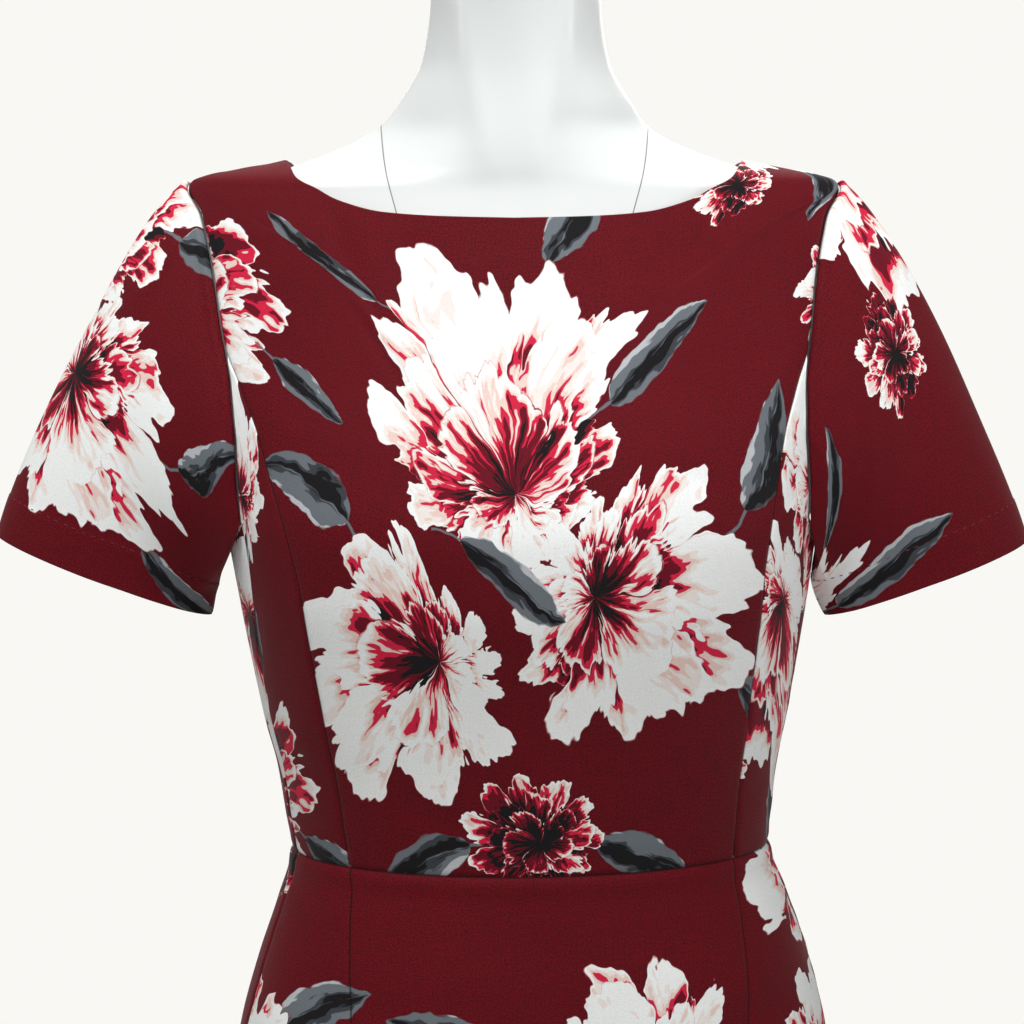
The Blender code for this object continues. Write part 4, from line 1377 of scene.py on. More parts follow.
@dataclass(frozen=True)
class GlossLacquer:
    """The form's smooth white lacquer, with its hairline joints."""

    colour: Rgba = srgb(224, 229, 230)
    shade: Rgba = srgb(220, 225, 226)
    joint: Rgba = srgb(120, 116, 116)
    roughness: float = 0.50
    coat: float = 0.40
    coat_roughness: float = 0.15
    joint_edges: Pair = (0.00020, 0.00048)
    peel_depth: float = 0.00003

    def build(self) -> Material:
        """The material.

        Returns:
            The lacquer.
        """
        material, g, shader = new_material("gloss_lacquer")
        place = g.node("ShaderNodeTexCoord").outputs["Object"]
        cloudy = g.noise(place, 7.0, 3.0)
        colour = g.mix(cloudy, self.colour, self.shade)
        away = g.math("ABSOLUTE", g.attribute("joint_distance").outputs["Fac"])
        line = g.step(away, *self.joint_edges, (1.0, 0.0))
        colour = g.mix(line, colour, self.joint)
        g.feed(shader.inputs["Base Color"], colour)
        g.feed(shader.inputs["Roughness"], g.times_plus(g.noise(place, 45.0, 3.0), 0.08, self.roughness))
        shader.inputs["Coat Weight"].default_value = self.coat
        shader.inputs["Coat Roughness"].default_value = self.coat_roughness
        peel = g.minus(g.noise(place, 160.0, 2.0), g.times(line, 3.0))
        g.bump(shader, peel, self.peel_depth, 0.4)
        return material


@dataclass(frozen=True)
class Metal:
    """A metal with fine marks: its name, colour, roughness, coat and the way its marks run."""

    name: str
    colour: Rgba
    worn: Rgba
    roughness: float
    metallic: float
    stretch: tuple[float, float, float]
    scale: float

    def build(self, wear: Tree) -> Material:
        """The material.

        Args:
            wear: The group for marks on metal.

        Returns:
            The metal.
        """
        material, g, shader = new_material(self.name)
        place = g.node("ShaderNodeTexCoord").outputs["Object"]
        marks = g.group(wear, place=place, stretch=self.stretch, scale=self.scale).outputs
        g.feed(shader.inputs["Base Color"], g.mix(g.step(marks["Marks"], 0.45, 0.75), self.colour, self.worn))
        rough = g.times_plus(marks["Smudge"], 0.16, self.roughness - 0.08)
        g.feed(shader.inputs["Roughness"], g.times_plus(marks["Marks"], 0.10, rough))
        shader.inputs["Metallic"].default_value = self.metallic
        g.bump(shader, marks["Height"], 0.00002, 0.4)
        return material


@dataclass(frozen=True)
class TapeWeave:
    """The zip's woven tape."""

    colour: Rgba = srgb(84, 20, 32)
    deep: Rgba = srgb(60, 12, 22)
    ribs_per_metre: float = 1400.0

    def build(self) -> Material:
        """The material.

        Returns:
            The weave.
        """
        material, g, shader = new_material("zip_tape_weave")
        x, _, z = g.split(g.node("ShaderNodeTexCoord").outputs["Object"])
        slant = g.times(g.plus(x, z), self.ribs_per_metre * math.pi)
        rib = g.math("SINE", slant)
        g.feed(shader.inputs["Base Color"], g.mix(g.step(rib, -0.8, 0.8), self.deep, self.colour))
        g.feed(shader.inputs["Roughness"], g.times_plus(rib, 0.05, 0.80))
        g.bump(shader, rib, 0.0001)
        return material


@dataclass(frozen=True)
class ThreadTwist:
    """Sewing thread with its twist, and a painted highlight on the twist."""

    colour: Rgba = srgb(72, 12, 22)
    lit: Rgba = srgb(96, 24, 36)

    def build(self) -> Material:
        """The material."""
        material, g, shader = new_material("sewing_thread")
        place = g.node("ShaderNodeTexCoord").outputs["Object"]
        twist = g.noise(place, 2600.0, 1.0)
        # Painted highlight: the lit colour stands in for light catching the twist.
        g.feed(shader.inputs["Base Color"], g.mix(twist, self.colour, self.lit))
        g.feed(shader.inputs["Roughness"], g.times_plus(twist, 0.2, 0.55))
        return material


class Materials:
    """Every finish of the part, built once."""

    def __init__(self) -> None:
        """Builds the shared effects and the finishes that use them."""
        inks = PrintColours()
        grain = crepe_grain()
        wear = hairline_wear()
        self.printed = PrintedCrepe(inks).build(BloomBrush(inks).build(), LeafBrush(inks).build(), grain)
        self.reverse = PlainCrepe().build(grain)
        self.lacquer = GlossLacquer().build()
        self.tape = TapeWeave().build()
        self.thread = ThreadTwist().build()
        self.steel = Metal(
            "brushed_steel", srgb(200, 202, 206), srgb(222, 224, 227), 0.28, 1.0, (1.0, 1.0, 0.05), 900.0
        ).build(wear)
        self.plate = Metal(
            "turned_steel", srgb(194, 196, 200), srgb(216, 218, 222), 0.32, 1.0, (1.0, 0.05, 1.0), 700.0
        ).build(wear)
        self.zip_metal = Metal(
            "zip_enamel", srgb(84, 14, 26), srgb(116, 44, 52), 0.42, 0.35, (1.0, 1.0, 0.3), 2500.0
        ).build(wear)


MATERIALS = Materials()


# ---- The dress ----


@dataclass(frozen=True)
class SheetCut:
    """How a panel is cut: its flat size and area, what it rests on and where in the repeat it lies."""

    node: str
    flat: Pair
    area: float
    cut_from: Pair
    held: str = "hung"
    rests_on: tuple[str, ...] = ("form_skin",)


def declare(thing: Thing, cut: SheetCut) -> None:
    """Attaches a sheet to its body and hides the imported solid that it stands for.

    Args:
        thing: The sheet.
        cut: How it is cut.
    """
    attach(thing, DRESS_BODY)
    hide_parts(cut.node)
    list(cut.rests_on)
    log.info("%s: %d faces", thing.name, len(thing.data.polygons))


CREASE_ROWS: dict[str, tuple[tuple, ...]] = {
    "bodice_front": (
        ((-0.106, 0.392), (-0.088, 0.280), 0.0016, 0.012),
        ((0.098, 0.386), (0.106, 0.300), 0.0009, 0.011),
        ((-0.122, 0.300), (-0.060, 0.238), 0.0012, 0.010),
        ((0.126, 0.288), (0.062, 0.244), 0.0010, 0.010),
        ((-0.052, 0.126), (-0.030, 0.016), 0.0008, 0.012),
        ((0.066, 0.134), (0.048, 0.024), 0.0009, 0.012),
        ((-0.104, 0.034), (-0.026, 0.024), 0.0007, 0.007),
        ((0.018, 0.019), (0.094, 0.031), 0.0009, 0.007),
        ((0.100, 0.196), (0.136, 0.176), 0.0012, 0.006, 0.7),
        ((-0.070, 0.346), (0.060, 0.350), -0.0005, 0.011),
    ),
    "bodice_side_front_left": (
        ((0.060, 0.262), (0.012, 0.214), 0.0011, 0.008),
        ((-0.004, 0.172), (0.036, 0.182), 0.0010, 0.006, 0.3),
        ((0.056, 0.060), (0.008, 0.040), 0.0008, 0.008),
    ),
    "bodice_side_front_right": (
        ((-0.056, 0.256), (-0.016, 0.206), 0.0010, 0.009),
        ((-0.050, 0.084), (-0.010, 0.052), 0.0009, 0.008),
        ((-0.052, 0.032), (-0.012, 0.022), 0.0007, 0.006),
    ),
    "bodice_back_left": (
        ((-0.030, 0.318), (-0.124, 0.284), 0.0013, 0.013),
        ((-0.150, 0.232), (-0.086, 0.164), 0.0012, 0.011),
        ((-0.016, 0.066), (-0.116, 0.048), 0.0015, 0.009),
        ((-0.030, 0.034), (-0.094, 0.020), 0.0011, 0.007),
        ((-0.012, 0.210), (-0.046, 0.120), 0.0009, 0.012),
    ),
    "bodice_back_right": (
        ((0.026, 0.306), (0.118, 0.290), 0.0011, 0.013),
        ((0.154, 0.222), (0.092, 0.150), 0.0014, 0.011),
        ((0.014, 0.078), (0.104, 0.058), 0.0013, 0.009),
        ((0.022, 0.040), (0.112, 0.026), 0.0012, 0.007),
    ),
    "skirt_front": (
        ((-0.164, -0.060), (-0.060, -0.092), 0.0012, 0.013),
        ((0.170, -0.072), (0.074, -0.108), 0.0014, 0.013),
        ((-0.050, -0.196), (0.066, -0.208), 0.0009, 0.013),
        ((-0.092, -0.260), (-0.112, -0.690), 0.0024, 0.024, 0.75),
        ((0.036, -0.300), (0.028, -0.700), -0.0020, 0.024, 0.75),
        ((0.126, -0.240), (0.142, -0.690), 0.0022, 0.021, 0.75),
        ((-0.160, -0.330), (-0.172, -0.690), -0.0016, 0.018, 0.7),
    ),
    "skirt_back_left": (
        ((-0.020, -0.050), (-0.120, -0.074), 0.0014, 0.010),
        ((-0.170, -0.150), (-0.060, -0.206), 0.0013, 0.015),
        ((-0.060, -0.270), (-0.074, -0.690), 0.0024, 0.022, 0.75),
        ((-0.140, -0.300), (-0.152, -0.690), -0.0018, 0.022, 0.75),
    ),
    "skirt_back_right": (
        ((0.018, -0.062), (0.106, -0.080), 0.0012, 0.010),
        ((0.160, -0.180), (0.052, -0.222), 0.0014, 0.015),
        ((0.078, -0.250), (0.090, -0.700), 0.0022, 0.023, 0.75),
        ((0.030, -0.340), (0.034, -0.690), -0.0014, 0.018, 0.75),
        ((0.168, -0.300), (0.176, -0.690), 0.0016, 0.018, 0.75),
    ),
    "sleeve_left": (
        ((-0.052, 0.200), (-0.090, -0.070), 0.0028, 0.016, 0.5),
        ((-0.098, 0.160), (-0.128, -0.060), -0.0022, 0.014, 0.55),
        ((-0.178, 0.096), (-0.126, 0.010), 0.0022, 0.011),
        ((-0.024, 0.208), (-0.038, 0.140), 0.0014, 0.007),
        ((0.020, 0.150), (0.016, -0.060), -0.0014, 0.020, 0.6),
        ((0.066, 0.180), (0.092, -0.060), 0.0026, 0.016, 0.5),
        ((0.120, 0.140), (0.134, -0.050), -0.0020, 0.014, 0.6),
        ((0.178, 0.080), (0.140, 0.010), 0.0020, 0.011),
    ),
    "sleeve_right": (
        ((0.038, 0.206), (0.072, 0.090), 0.0022, 0.009, 0.4),
        ((0.064, 0.180), (0.104, -0.070), 0.0030, 0.016, 0.5),
        ((0.112, 0.160), (0.138, -0.060), -0.0023, 0.014, 0.55),
        ((0.182, 0.088), (0.134, 0.008), 0.0022, 0.011),
        ((-0.012, 0.160), (-0.006, -0.060), -0.0015, 0.020, 0.6),
        ((-0.070, 0.184), (-0.088, -0.060), 0.0025, 0.015, 0.5),
        ((-0.126, 0.130), (-0.130, -0.050), -0.0019, 0.013, 0.6),
        ((-0.172, 0.088), (-0.146, 0.012), 0.0019, 0.011),
    ),
}
CREASES = {node: tuple(Crease(*row) for row in rows) for node, rows in CREASE_ROWS.items()}


@dataclass(frozen=True)
class Dart:
    """A dart from the waist: its angle there, the height of its point and its angle at the point."""

    top: float
    point: float
    point_angle: float
    dip: float = 0.0008
    width: float = 0.0016
    reach: int = 8
    fade: float = 0.06
    crowd: float = 1.8
    rounds: int = 4
    groove_fade: float = 0.03
    point_clear: float = 0.0006

    def angle(self, height: Array) -> Array:
        """The angle of the dart's line at each height, straight on past its point."""
        return self.top + (self.point_angle - self.top) * (WAIST - height) / (WAIST - self.point)

    def gathered(self, spots: Array) -> Array:
        """The panel's spots, slid along their rows until a column lies on the dart with others close by.

        Args:
            spots: The panel's spots.

        Returns:
            The moved spots. Rows well past the dart's point stay as they are.
        """
        moved = spots.copy()
        index = np.arange(spots.shape[1], dtype=float)
        for side in (-1.0, 1.0):
            height = moved[:, 0, 1]
            for _ in range(self.rounds):
                line = side * self.angle(np.clip(height, *sorted((self.point, WAIST))))
                place = np.array([np.interp(a, row, index) for a, row in zip(line, moved[..., 0])])
                height = np.array([np.interp(p, index, row) for p, row in zip(place, moved[..., 1])])
            past = (self.point - height) / math.copysign(self.fade, WAIST - self.point)
            amount = half_wave(past)[:, None]
            sewn = place[amount[:, 0] > 0.999]
            if sewn.min() < self.reach or sewn.max() > index[-1] - self.reach:
                continue
            middle = round(float(sewn.mean()))
            away = index - middle
            drawn = np.sign(away) * self.reach * (np.abs(away) / self.reach) ** self.crowd
            close = np.where(np.abs(away) < self.reach, drawn, away)[None]
            room = min(middle, index[-1] - middle)
            share = half_wave(np.abs(close) / room)
            wanted = index + amount * (close - away + (place - middle)[:, None] * share)
            for rank, row in enumerate(wanted):
                moved[rank] = columns_at(row, index, moved[rank])
        return moved

    def groove(self, spots: Array, base: Array) -> tuple[Array, Array]:
        """The dart's fine groove on each side of the garment.

        Args:
            spots: The panel's spots.
            base: Its points.

        Returns:
            How far each place lies from the dart's line, with its side as sign, and how far the groove
            moves it.
        """
        height = spots[..., 1]
        radius = np.linalg.norm(base[..., :2], axis=-1)
        aside = np.radians(np.abs(spots[..., 0]) - self.angle(height)) * radius
        past = np.clip((height - self.point) / math.copysign(self.groove_fade, WAIST - self.point), 0.0, 1.0)
        marked = np.where(past > 0.0, aside, np.copysign(1.0, aside))
        marked = marked + np.copysign(self.point_clear, aside) * (1.0 - past)
        return marked, -self.dip * past * bell(aside, self.width)


@dataclass(frozen=True)
class StitchRow:
    """A row of short hand stitches: their length, spacing, thickness and how deep they sit."""

    length: float = 0.0025
    spacing: float = 0.0058
    thickness: float = 0.00050
    sunk: float = 0.00010
    from_seam: float = 0.004
    uneven: float = 0.0004
    sides: int = 6
    outline: tuple[Pair, ...] = ((-1.0, 0.30), (-0.8, 0.80), (0.0, 1.0), (0.8, 0.80), (1.0, 0.30))

    def build(self, name: str, line: Array, outward: Array) -> Thing:
        """The row as one mesh on its line.

        Args:
            name: The object's name.
            line: Points along the line.
            outward: The directions out of the cloth there.

        Returns:
            The row, riding on the dress.
        """
        run = run_along(line)
        chance = np.random.default_rng(len(name))
        places = np.arange(self.from_seam, run[-1] - self.from_seam, self.spacing)
        places = places + chance.uniform(-self.uneven, self.uneven, len(places))
        ahead = np.gradient(line, run, axis=0)
        middle, along, out = (columns_at(places, run, values) for values in (line, ahead, outward))
        along, out = unit(along), unit(out)
        along = unit(along + np.cross(out, along) * chance.uniform(-0.10, 0.10, len(places))[:, None])
        across = np.cross(out, along)
        half = 0.5 * self.length * chance.uniform(0.85, 1.1, len(places))
        radius = 0.5 * self.thickness
        turn = np.arange(self.sides) * 2.0 * np.pi / self.sides
        table = np.array(self.outline)
        reach = table[None, :, None, 0] * half[:, None, None]
        wide = radius * table[None, :, None, 1] * np.cos(turn)
        high = radius * table[None, :, None, 1] * (1.0 + np.sin(turn)) - self.sunk
        points = middle[:, None, None] + along[:, None, None] * reach[..., None]
        points = points + across[:, None, None] * wide[..., None] + out[:, None, None] * high[..., None]
        index = np.arange(points[..., 0].size).reshape(points.shape[:3])
        after = np.roll(index, -1, axis=2)
        quads = np.stack((index[:, :-1], after[:, :-1], after[:, 1:], index[:, 1:]), axis=-1).reshape(-1, 4)
        faces = [*quads[:, ::-1].tolist(), *index[:, 0].tolist(), *index[:, -1, ::-1].tolist()]
        mesh = bpy.data.meshes.new(name)
        mesh.from_pydata(points.reshape(-1, 3), [], faces)
        mesh.materials.append(MATERIALS.thread)
        mesh.shade_smooth()
        thing = link_object(name, mesh)
        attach(thing, DRESS_BODY)
        log.info("%s: %d stitches", name, len(places))
        return thing


ALL_SEWN: Edges = (EdgeKind.SEWN,) * 4
OPEN_TOP: Edges = (EdgeKind.SEWN, EdgeKind.SEWN, EdgeKind.SEWN, EdgeKind.OPEN)
OPEN_HEM: Edges = (EdgeKind.SEWN, EdgeKind.SEWN, EdgeKind.OPEN, EdgeKind.SEWN)


@dataclass(frozen=True)
class TurnedHem:
    """A hem: its depth, how far the doubled cloth stands out and half the way over which it does."""

    depth: float
    lift: float
    ease: float = 0.001

    def shares(self, length: float) -> Array:
        """The shares of a length that lie before, on and past the hem's line."""
        return (self.depth + self.ease * np.array((-1.0, 0.0, 1.0))) / length

    def fold(self, cloth: SheetMesh) -> Array:
        """How far the doubled cloth stands out at each place."""
        above = cloth.distances()[2]
        return self.lift * np.clip((self.depth + self.ease - above) / (2.0 * self.ease), 0.0, 1.0)

    def finish(self, cloth: SheetMesh, cut: SheetCut) -> None:
        stitches = StitchRow().build(f"{cut.node}_hem_stitches", *cloth.line_above_hem(self.depth))
        declare(cloth.build(), cut)


def cloth_panel(cut: SheetCut, base: Array, normals: Array, flat: Array, edges: Edges) -> SheetMesh:
    """A panel's cloth with the creases that are its own.

    Args:
        cut: How it is cut.
        base: Points of its inner face.
        normals: The directions straight out there.
        flat: The flat cloth's places.
        edges: Its left, right, bottom and top edge.

    Returns:
        The cloth, not built yet.
    """
    creases = CREASES[cut.node]
    return SheetMesh(f"cloth_{cut.node}", base, normals, flat, edges, cut.cut_from, creases=creases)


@dataclass
class Bodice:
    """The front, the two side fronts and the two backs, with their shared seams."""

    rows: int = 150
    front_columns: int = 76
    side_columns: int = 34
    back_columns: int = 84
    front_size: Pair = (0.15, 0.42)
    side_size: Pair = (0.07, 0.25)
    back_size: Pair = (0.19, 0.45)
    back_dart: Dart = Dart(136.0, 1.205, 139.0)
    princess_rows: float = 10.0
    armhole_upper_rows: float = 9.0
    armhole_back_rows: float = 15.0
    shoulder_rows: float = 4.0
    shoulder_crowd: float = 1.12
    cuts: dict[str, SheetCut] = field(
        default_factory=lambda: {
            "front": SheetCut("bodice_front", (0.463, 0.425), 0.118, (0.26, 0.055)),
            "side_left": SheetCut("bodice_side_front_left", (0.097, 0.305), 0.0127, (0.42, 0.40)),
            "side_right": SheetCut("bodice_side_front_right", (0.097, 0.305), 0.0127, (0.10, 0.28)),
            "back_left": SheetCut("bodice_back_left", (0.285, 0.452), 0.082, (0.46, 0.12)),
            "back_right": SheetCut("bodice_back_right", (0.285, 0.452), 0.082, (0.20, 0.45)),
        }
    )

    def __post_init__(self) -> None:
        """Measures the seams."""
        self.princess = Edge(up_seam(PRINCESS_SEAM, WAIST, PRINCESS_SEAM[-1][0]))
        self.side = Edge(up_seam(SIDE_SEAM, WAIST, UNDERARM))
        self.armhole_upper = Edge(through(ARMHOLE_UPPER), self.shoulder_crowd)
        self.armhole_lower = Edge(through(ARMHOLE_LOWER))
        self.armhole_back = Edge(through(ARMHOLE_BACK), self.shoulder_crowd)
        self.shoulder = Edge(straight((SHOULDER_ANGLE, SHOULDER_POINT), (SHOULDER_ANGLE, NECK_POINT)))
        self.neck_front = Edge(through(NECK_FRONT))
        self.neck_back = Edge(through(NECK_BACK))

    def sheet(self, spots: Array, cut: SheetCut, edges: Edges, grain: int, dart: Dart | None = None) -> None:
        """One panel over a grid of spots.

        Args:
            spots: The panel's spots.
            cut: How it is cut.
            edges: Its left, right, bottom and top edge.
            grain: The column of its grain line.
            dart: Its dart, if it has one.
        """
        if dart is not None:
            spots = dart.gathered(spots)
        base = FIGURE.cloth(spots)
        made = cloth_panel(cut, base, FIGURE.normal(spots), flat_places(base, grain), edges)
        if dart is not None:
            made.dart_distance, made.extra_lift = dart.groove(spots, base)
        declare(made.build(), cut)

    def build(self) -> None:
        """Builds the five panels."""
        outside = JoinedEdge(
            (self.princess, self.princess_rows),
            (self.armhole_upper, self.armhole_upper_rows),
            (self.shoulder, self.shoulder_rows),
        )
        centre = Edge(straight((0.0, WAIST), (0.0, NECK_FRONT[0][1])))
        waist = Edge(straight((0.0, WAIST), (PRINCESS_AT_WAIST, WAIST)))
        u = fine_shares(self.front_columns, self.front_size[0], both_ends=False)
        v = fine_shares(self.rows, self.front_size[1])
        half = patch(centre, outside, waist, self.neck_front, u, v)
        whole = np.concatenate((other_side(half), half[:, 1:]), axis=1)
        self.sheet(whole, self.cuts["front"], OPEN_TOP, len(u) - 1)
        waist = Edge(straight((PRINCESS_AT_WAIST, WAIST), (SIDE_AT_WAIST, WAIST)))
        u = fine_shares(self.side_columns, self.side_size[0])
        v = fine_shares(self.rows, self.side_size[1])
        side_front = patch(self.princess, self.side, waist, self.armhole_lower, u, v)
        self.sheet(side_front, self.cuts["side_left"], ALL_SEWN, 0)
        self.sheet(other_side(side_front), self.cuts["side_right"], ALL_SEWN, len(u) - 1)
        outside = JoinedEdge(
            (self.side, self.princess_rows),
            (self.armhole_back, self.armhole_back_rows),
            (self.shoulder, self.shoulder_rows),
        )
        centre = Edge(straight((BACK_CENTRE, WAIST), (BACK_CENTRE, NECK_BACK[-1][1])))
        waist = Edge(straight((SIDE_AT_WAIST, WAIST), (BACK_CENTRE, WAIST)))
        u = fine_shares(self.back_columns, self.back_size[0])
        v = fine_shares(self.rows, self.back_size[1])
        back = patch(outside, centre, waist, self.neck_back, u, v)
        self.sheet(back, self.cuts["back_left"], OPEN_TOP, len(u) - 1, self.back_dart)
        self.sheet(other_side(back), self.cuts["back_right"], OPEN_TOP, 0, self.back_dart)


@dataclass
class Skirt:
    """The skirt: a front with two long darts and two backs, open at the hem."""

    rows: int = 200
    front_columns: int = 150
    back_columns: int = 80
    front_dart: Dart = Dart(51.8, 0.900, 33.0)
    back_dart: Dart = Dart(136.0, 0.915, 138.0)
    front_width: float = 0.40
    back_width: float = 0.22
    length: float = 0.60
    hem: TurnedHem = TurnedHem(0.036, 0.0004)
    waist_ridge: float = 0.0010
    ridge_below_waist: float = 0.0065
    ridge_width: float = 0.0045
    cuts: dict[str, SheetCut] = field(
        default_factory=lambda: {
            "front": SheetCut("skirt_front", (0.442, 0.596), 0.256, (0.26, 0.035)),
            "back_left": SheetCut("skirt_back_left", (0.259, 0.596), 0.1495, (0.46, 0.12)),
            "back_right": SheetCut("skirt_back_right", (0.259, 0.596), 0.1495, (0.20, 0.45)),
        }
    )

    def sheet(self, spots: Array, cut: SheetCut, grain: int, dart: Dart) -> None:
        """One panel of the skirt, with its row of hem stitches.

        Args:
            spots: The panel's spots.
            cut: How it is cut.
            grain: The column of its grain line.
            dart: Its dart.
        """
        spots = dart.gathered(spots)
        base = FIGURE.cloth(spots)
        made = cloth_panel(cut, base, FIGURE.normal(spots), flat_places(base, grain, from_top=True), OPEN_HEM)
        below_waist = made.distances()[3]
        made.dart_distance, groove = dart.groove(spots, base)
        ridge = self.waist_ridge * bell(below_waist - self.ridge_below_waist, self.ridge_width)
        made.extra_lift = groove + self.hem.fold(made) + ridge
        self.hem.finish(made, cut)

    def build(self) -> None:
        """Builds the three panels."""
        side = Edge(up_seam(SIDE_SEAM, HEM, WAIST))
        v = np.union1d(fine_shares(self.rows, self.length), self.hem.shares(self.length))
        seam = side.at(v)[:, None]
        u = fine_shares(self.front_columns, self.front_width)
        across = seam[..., 0] * (2.0 * u - 1.0)[None]
        whole = np.stack((across, 0.0 * u[None] + seam[..., 1]), axis=-1)
        self.sheet(whole, self.cuts["front"], len(u) // 2, self.front_dart)
        u = fine_shares(self.back_columns, self.back_width)
        across = seam[..., 0] + (BACK_CENTRE - seam[..., 0]) * u[None]
        half = np.stack((across, 0.0 * u[None] + seam[..., 1]), axis=-1)
        self.sheet(half, self.cuts["back_left"], len(u) - 1, self.back_dart)
        self.sheet(other_side(half), self.cuts["back_right"], 0, self.back_dart)


@dataclass
class Sleeve:
    """A short set-in sleeve from the armhole to an oval hem, with its seam under the arm."""

    side: int
    bodice: Bodice
    cut: SheetCut
    out: float
    half_width: float
    height: float
    flows: tuple[tuple[float, float, float, float, float], ...]
    forward: float = 0.006
    half_depth: float = 0.0370
    slope: float = math.radians(20.5)
    sweep: float = 0.30
    seam_shift: float = 0.00012
    hem: TurnedHem = TurnedHem(0.024, 0.0005)
    head: float = 0.0017
    head_from_seam: float = 0.007
    head_width: float = 0.006
    length: float = 0.20
    girth: float = 0.38
    rows: int = 96
    columns: int = 190

    def ring(self) -> tuple[Array, Array]:
        """The armhole's points from the underarm round the front, and the turn of each.

        Returns:
            Points on the cloth's outer face, and turns from 0.5 down to -0.5.
        """
        b = self.bodice
        fine = np.linspace(0.0, 1.0, 161)
        runs = [b.armhole_upper.at(fine)[::-1], b.armhole_lower.at(fine), b.armhole_back.at(fine)]
        spots = np.concatenate((runs[0], runs[1][1:], runs[2][1:]))
        if self.side < 0:
            spots = spots * np.array((-1.0, 1.0))
        places = FIGURE.cloth(spots, WALL)
        run = run_along(places)
        low = int(np.argmin(spots[:, 1]))
        down = 0.5 * run / run[low]
        up = 0.5 + 0.5 * (run - run[low]) / (run[-1] - run[low])
        turns = np.where(np.arange(len(run)) <= low, down, up)
        wrapped = np.mod(fine_shares(self.columns, self.girth) + 0.5, 1.0)
        wrapped[-1] = 0.5 + 1e-9
        points = columns_at(wrapped, turns, places)
        return points + np.array((self.side * self.seam_shift, 0.0, 0.0)), wrapped

    def lines(self) -> tuple[Array, Array, Array]:
        """The sleeve's outer points from hem to armhole.

        Returns:
            The points, the share of the way down for each row and the turn of each column.
        """
        start, turn = self.ring()
        drop = 1.0 - np.abs(1.0 - 2.0 * turn)
        table = np.asarray(self.flows)
        leave_angle, leave_pull, arrive_angle, arrive_pull = (
            SmoothColumn(table[:, 0], table[:, k])(drop) for k in range(1, 5)
        )
        ahead = -self.sweep * np.sin(2.0 * np.pi * turn)
        leave_angle, arrive_angle = np.radians(leave_angle), np.radians(arrive_angle)
        leave = np.stack((self.side * np.cos(leave_angle), ahead, -np.sin(leave_angle)), axis=-1)
        leave *= leave_pull[:, None]
        arrive = np.stack((self.side * np.cos(arrive_angle), 0.0 * ahead, -np.sin(arrive_angle)), axis=-1)
        arrive *= arrive_pull[:, None]
        around = 2.0 * np.pi * turn
        width = self.half_width * np.cos(around)
        end = np.stack(
            (
                self.side * (self.out + width * math.cos(self.slope)),
                -self.forward - self.half_depth * np.sin(around),
                self.height + width * math.sin(self.slope),
            ),
            axis=-1,
        )
        t = np.union1d(fine_shares(self.rows, self.length), 1.0 - self.hem.shares(self.length))
        t = t[::-1][:, None, None]
        points = start * ((1.0 + 2.0 * t) * (1.0 - t) ** 2) + end * (t * t * (3.0 - 2.0 * t))
        points = points + leave * (t * (1.0 - t) ** 2) + arrive * (t * t * (t - 1.0))
        return points, t[:, 0, 0], turn

    def build(self) -> None:
        outer, t, turn = self.lines()
        if self.side > 0:
            outer, turn = outer[:, ::-1], turn[::-1]
        normals = unit(np.cross(np.gradient(outer, axis=1), np.gradient(outer, axis=0)))
        middle = outer.shape[1] // 2
        base = outer - normals * WALL
        crown = np.clip(np.cos(2.0 * np.pi * turn) + 0.35, 0.0, 1.0) ** 0.7
        beside_seam = bell(t * self.length - self.head_from_seam, self.head_width)
        head = self.head * crown[None] * beside_seam[:, None]
        made = cloth_panel(self.cut, base, normals, flat_places(base, middle), OPEN_HEM)
        made.extra_lift = head + self.hem.fold(made)
        self.hem.finish(made, self.cut)


def build_sleeves(bodice: Bodice) -> None:
    """Builds the wearer's left and right sleeve.

    Args:
        bodice: The bodice, whose armholes they are set in.
    """
    left = Sleeve(
        1,
        bodice,
        SheetCut("sleeve_left", (0.510, 0.232), 0.0515, (0.45, 0.30)),
        0.2358,
        0.0612,
        1.2070,
        (
            (0.00, 0.0, 0.070, 75.0, 0.150),
            (0.25, 12.0, 0.095, 71.0, 0.140),
            (0.50, 34.0, 0.100, 69.0, 0.120),
            (0.75, 66.0, 0.085, 67.0, 0.085),
            (1.00, 94.0, 0.045, 58.0, 0.072),
        ),
    )
    right = Sleeve(
        -1,
        bodice,
        SheetCut("sleeve_right", (0.510, 0.232), 0.0515, (0.28, 0.10)),
        0.2320,
        0.0648,
        1.2085,
        (
            (0.00, 0.0, 0.070, 75.0, 0.150),
            (0.25, 12.0, 0.095, 71.0, 0.140),
            (0.50, 32.0, 0.100, 69.0, 0.120),
            (0.75, 62.0, 0.080, 74.0, 0.080),
            (1.00, 80.0, 0.048, 80.0, 0.048),
        ),
    )
    left.build()
    right.build()


# ---- The form, its stand and the zip's hard pieces ----


